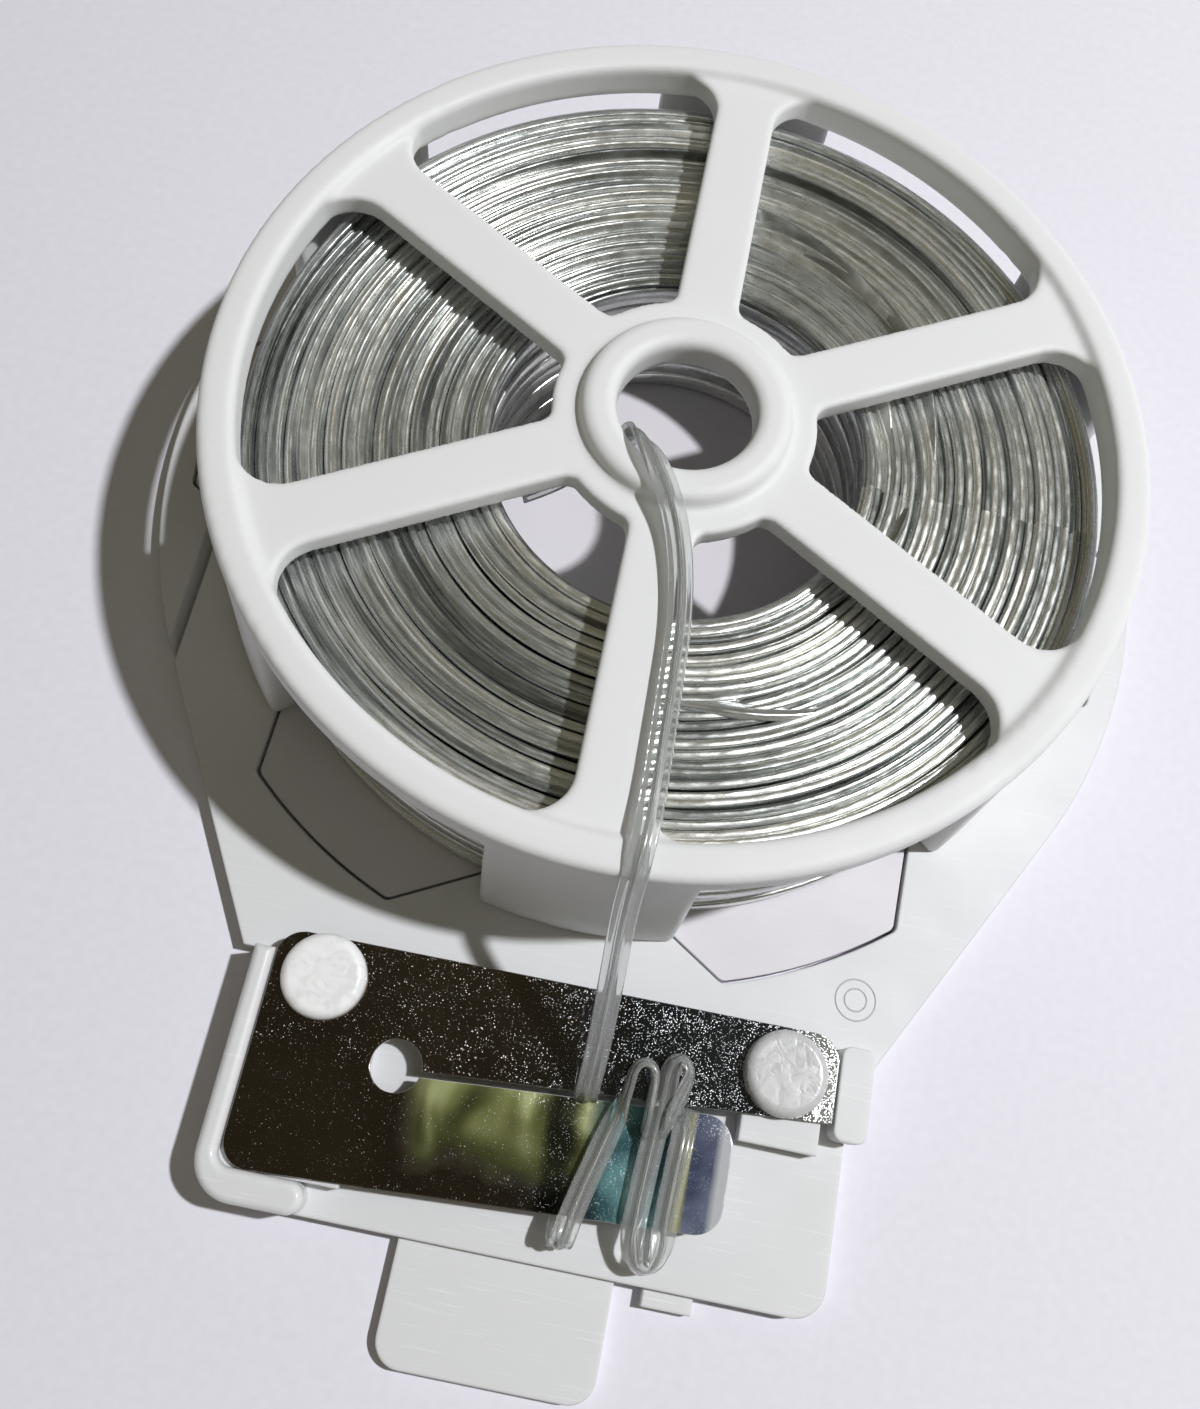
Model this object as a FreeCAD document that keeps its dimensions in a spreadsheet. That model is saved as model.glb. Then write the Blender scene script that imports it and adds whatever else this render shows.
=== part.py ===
import FreeCAD, Part
import math
import os
import re
import Sketcher

# Hand dispenser for flat plastic-covered tie wire, lying on its rear cover.
# Millimetres, +Z up. Every sub-part is drawn about the coil's axis and then moved
# along Y, so that the origin is under the middle of the whole object.

SIZES = [
    # Base plate: a disc whose tangent edges run down to the cutter head.
    ("plate_margin", 8.5),
    ("plate_thickness", 2.2),
    ("neck_angle", 30.0),
    # Windows of the plate and the lugs of the rear cover that fill them.
    ("window_margin", 2.8),
    ("window_inset", 10.6),
    ("window_lean", 30.0),
    ("window_turn", -2.0),
    ("window_corner", 1.0),
    ("cover_clearance", 0.3),
    ("cover_thickness", 1.9),
    # Cage: posts, ring, spokes and the eyelet that the tie is drawn through.
    ("post_count", 6.0),
    ("post_thickness", 1.4),
    ("post_draft", 1.4),
    ("post_half_angle", 12.4),
    ("post_corner", 0.8),
    ("ring_underside", 20.4),
    ("ring_height", 4.0),
    ("ring_outer_radius", 45.0),
    ("ring_width", 3.5),
    ("ring_round", 0.8),
    ("spoke_width", 6.2),
    ("spoke_root_round", 4.0),
    ("spoke_hub_round", 1.7),
    ("round_runout", 0.1),
    ("hub_radius", 12.7),
    ("eyelet_radius", 6.6),
    ("bead_radius", 10.1),
    ("bead_rise", 1.6),
    ("bead_round", 1.1),
    # Hinged segment at the plate's left side.
    ("flap_width", 7.2),
    ("hinge_groove", 0.65),
    # Cutter head: floor, seat of the steel, rim bar, end bracket and tab.
    ("head_half_width", 28.9),
    ("head_back", 54.0),
    ("head_front", 76.2),
    ("head_corner_left", 4.0),
    ("head_corner_right", 3.0),
    ("head_ledge", 1.6),
    ("seat_rise", 2.0),
    ("seat_right", 26.0),
    ("seat_step", 62.3),
    ("rim_width", 1.9),
    ("rim_front_width", 2.9),
    ("rim_front_end", 18.6),
    ("rim_rise", 3.4),
    ("rim_inner_corner", 1.4),
    ("rim_round", 0.7),
    ("bracket_left", 27.1),
    ("bracket_right", 30.2),
    ("bracket_back", 52.0),
    ("bracket_front", 60.6),
    ("bracket_rise", 2.8),
    ("bracket_round", 0.9),
    ("nib_left", 12.6),
    ("nib_right", 17.2),
    ("nib_front", 77.8),
    ("tab_half_width", 9.9),
    ("tab_reach", 86.7),
    ("tab_thickness", 1.4),
    ("tab_corner", 2.5),
    # Steel stamping: upper strip, and the tongue that is pressed to cut.
    ("steel_thickness", 0.6),
    ("steel_clearance", 0.1),
    ("steel_back_left", 52.0),
    ("steel_back_right", 51.4),
    ("steel_right", 26.9),
    ("steel_front_left", 73.45),
    ("steel_corner", 2.6),
    ("tongue_root", 13.5),
    ("tongue_end", 18.0),
    ("tongue_front_end", 70.85),
    ("tongue_corner", 2.6),
    ("slit_at_root", 62.6),
    ("slit_at_end", 60.2),
    ("slit_width", 0.5),
    ("relief_radius", 2.375),
    ("relief_y", 62.1),
    ("nose_start", 14.4),
    ("nose_angle", 8.0),
    # Stakes that hold the steel.
    ("stake_x", 21.9),
    ("stake_y", 55.7),
    ("stake_radius", 3.95),
    ("stake_shank_radius", 2.0),
    ("stake_rise", 1.6),
    ("stake_round", 0.9),
    ("stake_clearance", 0.1),
    # Coil of tie: a plain core under its top layer.
    ("coil_inner_radius", 18.3),
    ("coil_clearance", 1.8),
    ("coil_lift", 0.3),
    ("coil_headroom", 0.5),
    ("coil_layer", 0.6),
    # Tie as a plain tube as thick as the flat tie.
    ("tie_thickness", 0.9),
]

# Sizes that follow from others, so that the plate, cage and coil keep fitting each other.
FITTED = [
    ("plate_radius", "ring_outer_radius + plate_margin"),
    ("window_radius", "ring_outer_radius + plate_margin - window_margin"),
    ("window_offset", "ring_outer_radius - post_thickness - window_inset"),
    ("post_inner_radius", "ring_outer_radius - post_thickness"),
    ("post_foot_radius", "ring_outer_radius + post_draft"),
    ("ring_inner_radius", "ring_outer_radius - ring_width"),
    ("hinge_chord", "ring_outer_radius + plate_margin - flap_width"),
    ("coil_outer_radius", "ring_outer_radius - post_thickness - coil_clearance"),
]

AXIS_Y = "(tab_reach - plate_radius) / 2"
ORIGIN = ("0", "0")

doc = FreeCAD.newDocument("TieDispenser")
sizes = doc.addObject("Spreadsheet::Sheet", "Sizes")
for row, (alias, size) in enumerate(SIZES + FITTED, start=1):
    sizes.set("A%d" % row, alias.replace("_", " "))
    sizes.set("B%d" % row, "=" + size if isinstance(size, str) else str(size))
    sizes.setAlias("B%d" % row, alias)
doc.recompute()

ALIASES = re.compile(r"\b(%s)\b" % "|".join(alias for alias, size in SIZES + FITTED))


def bind(expression):
    """The expression with each size written as a cell of the sheet."""
    return ALIASES.sub(r"Sizes.\1", expression)


def value(expression):
    """The number that an expression over the sheet has now."""
    result = sizes.evalExpression(bind(expression))
    return float(getattr(result, "Value", result))


def drive(item, path, expression):
    item.setExpression(path, bind(expression))


# Sketch helpers


def new_body(label):
    body = doc.addObject("PartDesign::Body", label)
    body.Label = label
    drive(body, "Placement.Base.y", AXIS_Y)
    return body


def origin_item(body, role):
    return next(item for item in body.Origin.OriginFeatures if item.Role == role)


def new_sketch(body, name, plane="XY_Plane", height="0"):
    sketch = body.newObject("Sketcher::SketchObject", name)
    sketch.AttachmentSupport = [(origin_item(body, plane), "")]
    sketch.MapMode = "FlatFace"
    drive(sketch, "AttachmentOffset.Base.z", height)
    return sketch


def fix(sketch, kind, *where, to, unit=""):
    """A dimension of the sketch, bound to an expression."""
    size = value(to)
    if unit:
        size = math.radians(size)
    index = sketch.addConstraint(Sketcher.Constraint(kind, *where, size))
    drive(sketch, "Constraints[%d]" % index, "(%s)%s" % (to, unit))


def polygon(sketch, corners):
    """Closed outline through corners, each given as two expressions."""
    points = [FreeCAD.Vector(value(x), value(y), 0) for x, y in corners]
    count = len(corners)
    for index in range(count):
        line = Part.LineSegment(points[index], points[(index + 1) % count])
        sketch.addGeometry(line, False)
    for index, (x, y) in enumerate(corners):
        following = (index + 1) % count
        sketch.addConstraint(Sketcher.Constraint("Coincident", index, 2, following, 1))
        fix(sketch, "DistanceX", -1, 1, index, 1, to=x)
        fix(sketch, "DistanceY", -1, 1, index, 1, to=y)


def circle(sketch, x, y, radius):
    centre = FreeCAD.Vector(value(x), value(y), 0)
    ring = Part.Circle(centre, FreeCAD.Vector(0, 0, 1), value(radius))
    index = sketch.addGeometry(ring, False)
    if (x, y) == ORIGIN:
        sketch.addConstraint(Sketcher.Constraint("Coincident", index, 3, -1, 1))
    else:
        fix(sketch, "DistanceX", -1, 1, index, 3, to=x)
        fix(sketch, "DistanceY", -1, 1, index, 3, to=y)
    fix(sketch, "Radius", index, to=radius)


def arc_between(centre, start, end):
    """Arc counter-clockwise from start to end about a centre."""
    radius = (start - centre).Length
    first = math.atan2(start.y - centre.y, start.x - centre.x)
    last = math.atan2(end.y - centre.y, end.x - centre.x)
    if last < first:
        last += 2 * math.pi
    ring = Part.Circle(centre, FreeCAD.Vector(0, 0, 1), radius)
    return Part.ArcOfCircle(ring, first, last)


def rounded_sector(sketch, inner, outer, lean, offset, inner_round, outer_round, turn="0"):
    """Window about the X axis: two arcs about the origin, two straight sides, four rounds.

    A side leans by an angle from the window's middle and passes the origin at an offset,
    positive outside the window. The whole window is turned by an angle."""
    names = {"inner": (inner, inner_round, 1), "outer": (outer, outer_round, -1)}
    swing = FreeCAD.Rotation(FreeCAD.Vector(0, 0, 1), value(turn))
    lean_angle = math.radians(value(lean))
    corners = {}
    for name, (radius, rounding, side) in names.items():
        reach = value(radius) + side * value(rounding)
        angle = lean_angle + math.asin((value(offset) - value(rounding)) / reach)
        for half in (1, -1):
            normal = FreeCAD.Vector(-math.sin(lean_angle), half * math.cos(lean_angle), 0)
            direction = FreeCAD.Vector(math.cos(angle), half * math.sin(angle), 0)
            centre = direction * reach
            spots = (centre, direction * value(radius), centre + normal * value(rounding))
            corners[name, half] = [swing.multVec(spot) for spot in spots]
    origin = FreeCAD.Vector(0, 0, 0)
    low_in, low_out = corners["inner", -1], corners["outer", -1]
    high_in, high_out = corners["inner", 1], corners["outer", 1]
    elements = [
        arc_between(origin, low_out[1], high_out[1]),
        arc_between(high_out[0], high_out[1], high_out[2]),
        Part.LineSegment(high_out[2], high_in[2]),
        arc_between(high_in[0], high_in[2], high_in[1]),
        arc_between(origin, low_in[1], high_in[1]),
        arc_between(low_in[0], low_in[1], low_in[2]),
        Part.LineSegment(low_in[2], low_out[2]),
        arc_between(low_out[0], low_out[2], low_out[1]),
    ]
    for element in elements:
        sketch.addGeometry(element, False)
    joints = [(0, 2, 1, 1), (1, 2, 2, 1), (2, 2, 3, 1), (3, 2, 4, 2),
              (4, 1, 5, 1), (5, 2, 6, 1), (6, 2, 7, 1), (7, 2, 0, 1)]
    for joint in joints:
        sketch.addConstraint(Sketcher.Constraint("Tangent", *joint))
    for index in (0, 4):
        sketch.addConstraint(Sketcher.Constraint("Coincident", index, 3, -1, 1))
    for index, radius in ((0, outer), (4, inner), (1, outer_round), (7, outer_round),
                          (3, inner_round), (5, inner_round)):
        fix(sketch, "Radius", index, to=radius)
    fix(sketch, "Angle", 2, to="%s + %s + 180" % (turn, lean), unit=" * 1 deg")
    fix(sketch, "Angle", 6, to="%s - %s" % (turn, lean), unit=" * 1 deg")
    for index in (2, 6):
        fix(sketch, "Distance", -1, 1, index, to="abs(%s)" % offset)


# Feature helpers


def feature(body, kind, name, sketch):
    item = body.newObject("PartDesign::" + kind, name)
    item.Profile = sketch
    return item


def pad(body, name, sketch, length):
    item = feature(body, "Pad", name, sketch)
    drive(item, "Length", length)
    return item


def pocket(body, name, sketch, through_both=False, depth=None):
    """Cut upward from the sketch, through everything or to a depth, or through on both sides."""
    item = feature(body, "Pocket", name, sketch)
    item.Reversed = not through_both
    item.Midplane = through_both
    if depth:
        drive(item, "Length", depth)
    else:
        item.Type = "ThroughAll"
    return item


def revolve(body, name, sketch, angle=None):
    item = feature(body, "Revolution", name, sketch)
    item.ReferenceAxis = (origin_item(body, "Z_Axis"), [""])
    item.Angle = 360
    if angle:
        item.Midplane = True
        drive(item, "Angle", angle)
    return item


def repeat_around(body, name, original):
    """Copies of a feature around the coil's axis, one for each post."""
    item = body.newObject("PartDesign::PolarPattern", name)
    item.Originals = [original]
    item.Axis = (origin_item(body, "Z_Axis"), [""])
    item.Angle = 360
    drive(item, "Occurrences", "post_count")
    body.Tip = item
    return item


def round_edges(body, name, radius, chosen):
    """Fillet of the edges of the body's last feature that a test picks."""
    doc.recompute()
    base = body.Tip
    picked = ["Edge%d" % number for number, edge in enumerate(base.Shape.Edges, start=1) if chosen(edge)]
    item = body.newObject("PartDesign::Fillet", name)
    item.Base = (base, picked)
    drive(item, "Radius", radius)
    body.Tip = item
    return item


NEAR = 0.02


def ends(edge):
    return edge.Vertexes[0].Point, edge.Vertexes[-1].Point


def upright_at(*spots):
    """Test for upright edges that stand at one of some spots in plan."""
    places = [(value(x), value(y)) for x, y in spots]

    def chosen(edge):
        low, high = ends(edge)
        if math.hypot(low.x - high.x, low.y - high.y) > NEAR or abs(low.z - high.z) < NEAR:
            return False
        return any(math.hypot(low.x - x, low.y - y) < NEAR for x, y in places)

    return chosen


def level_at(height):
    """Test for edges that lie at a height."""
    level = value(height)
    return lambda edge: all(abs(end.z - level) < NEAR for end in ends(edge))


def ring_at(radius, height):
    """Test for circles about the coil's axis, of a radius and at a height."""
    level = value(height)
    size = value(radius)

    def chosen(edge):
        near_level = abs(edge.BoundBox.ZMin - level) < NEAR and edge.BoundBox.ZLength < NEAR
        return near_level and abs(edge.Curve.Radius - size) < NEAR

    return chosen


# Base plate and its hinged segment

PLATE_TOP = "plate_thickness"
WINDOW_ROOT = "post_inner_radius - 3 * window_corner"
NECK_X = "(plate_radius - head_back * sin(neck_angle * 1 deg)) / cos(neck_angle * 1 deg)"
TANGENT_X = "plate_radius * cos(neck_angle * 1 deg)"
TANGENT_Y = "-plate_radius * sin(neck_angle * 1 deg)"


def plate_outline(sketch):
    """Disc with two tangent edges that run down to the head."""
    right = FreeCAD.Vector(value(TANGENT_X), value(TANGENT_Y), 0)
    left = FreeCAD.Vector(-right.x, right.y, 0)
    low_left = FreeCAD.Vector(-value(NECK_X), -value("head_back"), 0)
    low_right = FreeCAD.Vector(value(NECK_X), -value("head_back"), 0)
    sketch.addGeometry(arc_between(FreeCAD.Vector(0, 0, 0), right, left), False)
    for start, end in ((left, low_left), (low_left, low_right), (low_right, right)):
        sketch.addGeometry(Part.LineSegment(start, end), False)
    for index in range(4):
        following = (index + 1) % 4
        sketch.addConstraint(Sketcher.Constraint("Coincident", index, 2, following, 1))
    sketch.addConstraint(Sketcher.Constraint("Coincident", 0, 3, -1, 1))
    fix(sketch, "Radius", 0, to="plate_radius")
    fix(sketch, "DistanceY", -1, 1, 1, 1, to=TANGENT_Y)
    fix(sketch, "DistanceY", -1, 1, 3, 2, to=TANGENT_Y)
    for index, side in ((2, "-"), (3, "")):
        fix(sketch, "DistanceX", -1, 1, index, 1, to="%s(%s)" % (side, NECK_X))
        fix(sketch, "DistanceY", -1, 1, index, 1, to="-head_back")


def make_plate(label, keep_left):
    """The plate with its windows, cut at the hinge's groove to keep one side."""
    body = new_body(label)
    outline = new_sketch(body, label + "_outline")
    plate_outline(outline)
    pad(body, label + "_disc", outline, "plate_thickness")
    bore = new_sketch(body, label + "_bore_sketch")
    circle(bore, "0", "0", "post_inner_radius")
    pocket(body, label + "_bore", bore)
    window = new_sketch(body, label + "_window_sketch")
    rounded_sector(window, WINDOW_ROOT, "window_radius", "-window_lean", "window_offset",
                   "window_corner", "window_corner", "window_turn")
    repeat_around(body, label + "_windows", pocket(body, label + "_window", window))
    groove = new_sketch(body, label + "_groove_sketch", "XZ_Plane")
    beyond = "2 * plate_radius" if keep_left else "-2 * plate_radius"
    lean = "-hinge_chord - hinge_groove" if keep_left else "-hinge_chord + hinge_groove"
    polygon(groove, [(beyond, "0"), ("-hinge_chord", "0"), (lean, PLATE_TOP), (beyond, PLATE_TOP)])
    body.Tip = pocket(body, label + "_groove", groove, through_both=True)


# Rear cover: closed disc whose lugs fill the windows


def make_rear_cover():
    body = new_body("rear_cover")
    disc = new_sketch(body, "cover_disc_sketch")
    circle(disc, "0", "0", "post_inner_radius - cover_clearance")
    pad(body, "cover_disc", disc, "cover_thickness")
    lug = new_sketch(body, "cover_lug_sketch")
    rounded_sector(lug, WINDOW_ROOT + " - cover_clearance", "window_radius - cover_clearance",
                   "-window_lean", "window_offset - cover_clearance",
                   "window_corner", "window_corner", "window_turn")
    repeat_around(body, "cover_lugs", pad(body, "cover_lug", lug, "cover_thickness"))


# Cage: posts, ring, spokes and eyelet

RING_TOP = "ring_underside + ring_height"
SPOKE_BOTTOM = "ring_underside + ring_round"
SPOKE_HEIGHT = "ring_height - 2 * ring_round"
SPOKE_TOP = "ring_underside + ring_height - ring_round"
BEAD_TOP = SPOKE_TOP + " + bead_rise"


def make_cage_posts():
    """Posts with drafted outer faces, in line with the spokes."""
    body = new_body("cage_posts")
    profile = new_sketch(body, "post_profile", "YZ_Plane")
    polygon(profile, [("post_inner_radius", PLATE_TOP), ("post_foot_radius", PLATE_TOP),
                      ("ring_outer_radius", "ring_underside"),
                      ("post_inner_radius", "ring_underside")])
    post = revolve(body, "post", profile, "post_half_angle * 2 deg")
    repeat_around(body, "posts", post)
    middle = value("(post_inner_radius + ring_outer_radius) / 2")

    def outer_corner(edge):
        low, high = ends(edge)
        return abs(low.z - high.z) > 1 and math.hypot(low.x, low.y) > middle

    round_edges(body, "post_corners", "post_corner", outer_corner)


def make_top_ring():
    body = new_body("top_ring")
    profile = new_sketch(body, "ring_profile", "XZ_Plane")
    polygon(profile, [("ring_inner_radius", "ring_underside"), ("ring_outer_radius", "ring_underside"),
                      ("ring_outer_radius", RING_TOP), ("ring_inner_radius", RING_TOP)])
    revolve(body, "ring", profile)
    round_edges(body, "ring_rounds", "ring_round", lambda edge: edge.Closed)


def make_spokes():
    """A flat web with rounded windows, which leaves one spoke over each post."""
    body = new_body("spokes")
    web = new_sketch(body, "web_sketch", height=SPOKE_BOTTOM)
    circle(web, "0", "0", "ring_inner_radius")
    circle(web, "0", "0", "hub_radius")
    pad(body, "web", web, SPOKE_HEIGHT)
    window = new_sketch(body, "web_window_sketch", height=SPOKE_BOTTOM)
    rounded_sector(window, "hub_radius - round_runout", "ring_inner_radius + round_runout",
                   "180 / post_count", "-spoke_width / 2", "spoke_hub_round", "spoke_root_round")
    repeat_around(body, "web_windows", pocket(body, "web_window", window))


def make_eyelet_hub():
    body = new_body("eyelet_hub")
    profile = new_sketch(body, "hub_profile", "XZ_Plane")
    polygon(profile, [("eyelet_radius", SPOKE_BOTTOM), ("hub_radius", SPOKE_BOTTOM),
                      ("hub_radius", SPOKE_TOP), ("bead_radius", SPOKE_TOP),
                      ("bead_radius", BEAD_TOP), ("eyelet_radius", BEAD_TOP)])
    revolve(body, "hub", profile)
    bead_rims = (ring_at("eyelet_radius", BEAD_TOP), ring_at("bead_radius", BEAD_TOP),
                 ring_at("eyelet_radius", SPOKE_BOTTOM))

    def bead_rim(edge):
        return edge.Closed and any(rim(edge) for rim in bead_rims)

    round_edges(body, "bead_rounds", "bead_round", bead_rim)


# Cutter head

SEAT_TOP = "plate_thickness + seat_rise"
STEEL_TOP = SEAT_TOP + " + steel_thickness"
BLOCK_FRONT = "-head_front + head_ledge"
RIM_INNER = "-head_half_width + rim_width"
RIM_BACK = "-head_front + rim_front_width"
RIM_END_X = "-rim_front_end - rim_front_width / 2"
SEAT_LEFT_END = "-tongue_root - relief_radius - stake_clearance"
SEAT_CHANNEL = "-slit_at_end + 2 * tie_thickness"


def make_cutter_head():
    body = new_body("cutter_head")
    block = new_sketch(body, "block_sketch")
    block_corners = [("-head_half_width", "-head_back"), ("-head_half_width", "-head_front"),
                     ("head_half_width", "-head_front"), ("head_half_width", "-head_back")]
    polygon(block, block_corners)
    pad(body, "block", block, "plate_thickness")
    rim = new_sketch(body, "rim_sketch", height=PLATE_TOP)
    polygon(rim, [("-head_half_width", "-head_back"), ("-head_half_width", "-head_front"),
                  (RIM_END_X, "-head_front"), (RIM_END_X, RIM_BACK),
                  (RIM_INNER, RIM_BACK), (RIM_INNER, "-head_back")])
    pad(body, "rim", rim, "rim_rise")
    rim_end = new_sketch(body, "rim_end_sketch", height=PLATE_TOP)
    circle(rim_end, RIM_END_X, RIM_BACK + " - rim_front_width / 2", "rim_front_width / 2")
    pad(body, "rim_end", rim_end, "rim_rise")
    round_edges(body, "left_corner", "head_corner_left", upright_at(block_corners[1]))
    round_edges(body, "right_corner", "head_corner_right", upright_at(block_corners[2]))
    round_edges(body, "inner_corner", "rim_inner_corner", upright_at((RIM_INNER, RIM_BACK)))
    round_edges(body, "rim_top", "rim_round", level_at("plate_thickness + rim_rise"))
    undercut = new_sketch(body, "undercut_sketch")
    polygon(undercut, [("-plate_radius", "-plate_radius - head_front"),
                       ("plate_radius", "-plate_radius - head_front"),
                       ("plate_radius", BLOCK_FRONT), ("-plate_radius", BLOCK_FRONT)])
    pocket(body, "undercut", undercut, depth="tab_thickness")
    nib = new_sketch(body, "nib_sketch")
    polygon(nib, [("nib_left", BLOCK_FRONT), ("nib_left", "-nib_front"),
                  ("nib_right", "-nib_front"), ("nib_right", BLOCK_FRONT)])
    pad(body, "nib", nib, "tab_thickness")
    seat = new_sketch(body, "seat_sketch", height=PLATE_TOP)
    polygon(seat, [(RIM_INNER, "-head_back"), (RIM_INNER, RIM_BACK), (SEAT_LEFT_END, RIM_BACK),
                   (SEAT_LEFT_END, SEAT_CHANNEL), ("tongue_end + steel_thickness", SEAT_CHANNEL),
                   ("tongue_end + steel_thickness", "-seat_step"), ("seat_right", "-seat_step"),
                   ("seat_right", "-head_back")])
    pad(body, "seat", seat, "seat_rise")
    bracket = new_sketch(body, "bracket_sketch", height=PLATE_TOP)
    bracket_corners = [("bracket_left", "-bracket_back"), ("bracket_left", "-bracket_front"),
                       ("bracket_right", "-bracket_front"), ("bracket_right", "-bracket_back")]
    polygon(bracket, bracket_corners)
    pad(body, "bracket", bracket, "bracket_rise")
    round_edges(body, "bracket_corners", "bracket_round", upright_at(*bracket_corners))


def make_thumb_tab():
    body = new_body("thumb_tab")
    outline = new_sketch(body, "tab_sketch")
    corners = [("-tab_half_width", BLOCK_FRONT), ("-tab_half_width", "-tab_reach"),
               ("tab_half_width", "-tab_reach"), ("tab_half_width", BLOCK_FRONT)]
    polygon(outline, corners)
    pad(body, "tab", outline, "tab_thickness")
    round_edges(body, "tab_corners", "tab_corner", upright_at(*corners[1:3]))


# Steel stamping

SLIT_SLOPE = "(slit_at_root - slit_at_end) / (tongue_root + tongue_end)"
STRIP_END_Y = "-slit_at_end + slit_width / 2 + (steel_right - tongue_end) * " + SLIT_SLOPE
FRONT_SLOPE = "(steel_front_left - tongue_front_end) / (head_half_width - rim_width + tongue_end)"
STEEL_LEFT = RIM_INNER + " + steel_clearance"
ROOT_FRONT_Y = "-tongue_front_end - (tongue_root + tongue_end) * " + FRONT_SLOPE


def bore(body, name, x, y, radius):
    sketch = new_sketch(body, name + "_sketch")
    circle(sketch, x, y, radius)
    return pocket(body, name, sketch)


def make_cutter_plate():
    body = new_body("cutter_plate")
    outline = new_sketch(body, "strip_sketch", height=SEAT_TOP)
    corners = [(STEEL_LEFT, "-steel_back_left"), (STEEL_LEFT, "-steel_front_left"),
               ("-tongue_root", ROOT_FRONT_Y), ("-tongue_root", "-slit_at_root + slit_width / 2"),
               ("steel_right", STRIP_END_Y), ("steel_right", "-steel_back_right")]
    polygon(outline, corners)
    pad(body, "strip", outline, "steel_thickness")
    round_edges(body, "strip_corners", "steel_corner", upright_at(corners[0], corners[1], corners[5]))
    bore(body, "strip_relief", "-tongue_root", "-relief_y", "relief_radius")
    for side, x in (("left", "-stake_x"), ("right", "stake_x")):
        bore(body, "stake_hole_" + side, x, "-stake_y", "stake_shank_radius + stake_clearance")


def make_press_tongue():
    """Springing tongue of the stamping, with its free end turned up a little."""
    body = new_body("press_tongue")
    outline = new_sketch(body, "tongue_sketch", height=SEAT_TOP)
    corners = [("-tongue_root", ROOT_FRONT_Y), ("tongue_end", "-tongue_front_end"),
               ("tongue_end", "-slit_at_end - slit_width / 2"),
               ("-tongue_root", "-slit_at_root - slit_width / 2")]
    polygon(outline, corners)
    nose_rise = "(tongue_end - nose_start) * tan(nose_angle * 1 deg)"
    pad(body, "tongue", outline, "steel_thickness + " + nose_rise)
    round_edges(body, "tongue_corners", "tongue_corner", upright_at(corners[1], corners[2]))
    over = new_sketch(body, "over_sketch", "XZ_Plane")
    polygon(over, [("-tongue_root - 1", STEEL_TOP), ("nose_start", STEEL_TOP),
                   ("tongue_end", STEEL_TOP + " + " + nose_rise),
                   ("tongue_end", SEAT_TOP + " + 4 * steel_thickness"),
                   ("-tongue_root - 1", SEAT_TOP + " + 4 * steel_thickness")])
    pocket(body, "over", over, through_both=True)
    under = new_sketch(body, "under_sketch", "XZ_Plane")
    polygon(under, [("nose_start", SEAT_TOP), ("tongue_end", SEAT_TOP + " + " + nose_rise),
                    ("tongue_end + 1", SEAT_TOP + " + " + nose_rise), ("tongue_end + 1", SEAT_TOP)])
    pocket(body, "under", under, through_both=True)
    bore(body, "tongue_relief", "-tongue_root", "-relief_y", "relief_radius")


def make_stake(label, x):
    """Domed head over the steel, on a shank that stands on the seat."""
    body = new_body(label)
    drive(body, "Placement.Base.x", x)
    drive(body, "Placement.Base.y", AXIS_Y + " - stake_y")
    profile = new_sketch(body, label + "_profile", "XZ_Plane")
    stake_top = STEEL_TOP + " + stake_rise"
    polygon(profile, [("0", SEAT_TOP), ("stake_shank_radius", SEAT_TOP),
                      ("stake_shank_radius", STEEL_TOP), ("stake_radius", STEEL_TOP),
                      ("stake_radius", stake_top), ("0", stake_top)])
    revolve(body, label + "_turned", profile)
    round_edges(body, label + "_dome", "stake_round", ring_at("stake_radius", stake_top))


# Coil of tie

COIL_BOTTOM = "cover_thickness + coil_lift"
COIL_TOP = "ring_underside - coil_headroom"
CORE_TOP = COIL_TOP + " - coil_layer"


def make_coil_part(label, bottom, top):
    body = new_body(label)
    profile = new_sketch(body, label + "_profile", "XZ_Plane")
    polygon(profile, [("coil_inner_radius", bottom), ("coil_outer_radius", bottom),
                      ("coil_outer_radius", top), ("coil_inner_radius", top)])
    revolve(body, label + "_turned", profile)


# Tie outside the coil: plain tubes whose routes are chosen by eye


def place_tube(label, shape):
    item = doc.addObject("Part::Feature", label)
    item.Label = label
    item.Shape = shape
    item.Placement = FreeCAD.Placement(FreeCAD.Vector(0, value(AXIS_Y), 0), FreeCAD.Rotation())


def tube_along(wire, diameter):
    """Round tube along a wire, in the pipe shell's default mode."""
    start = wire.OrderedVertexes[0].Point
    heading = wire.OrderedEdges[0].tangentAt(wire.OrderedEdges[0].FirstParameter)
    section = Part.Wire(Part.makeCircle(diameter / 2, start, heading))
    return wire.makePipeShell([section], True, False)


def report_volume(name, tube, wire, diameter):
    expected = math.pi * diameter ** 2 / 4 * wire.Length
    share = tube.Volume / expected
    print("%s: length %.1f, volume over section times length %.3f" % (name, wire.Length, share))


RUN_SHARE = 0.45


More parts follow.
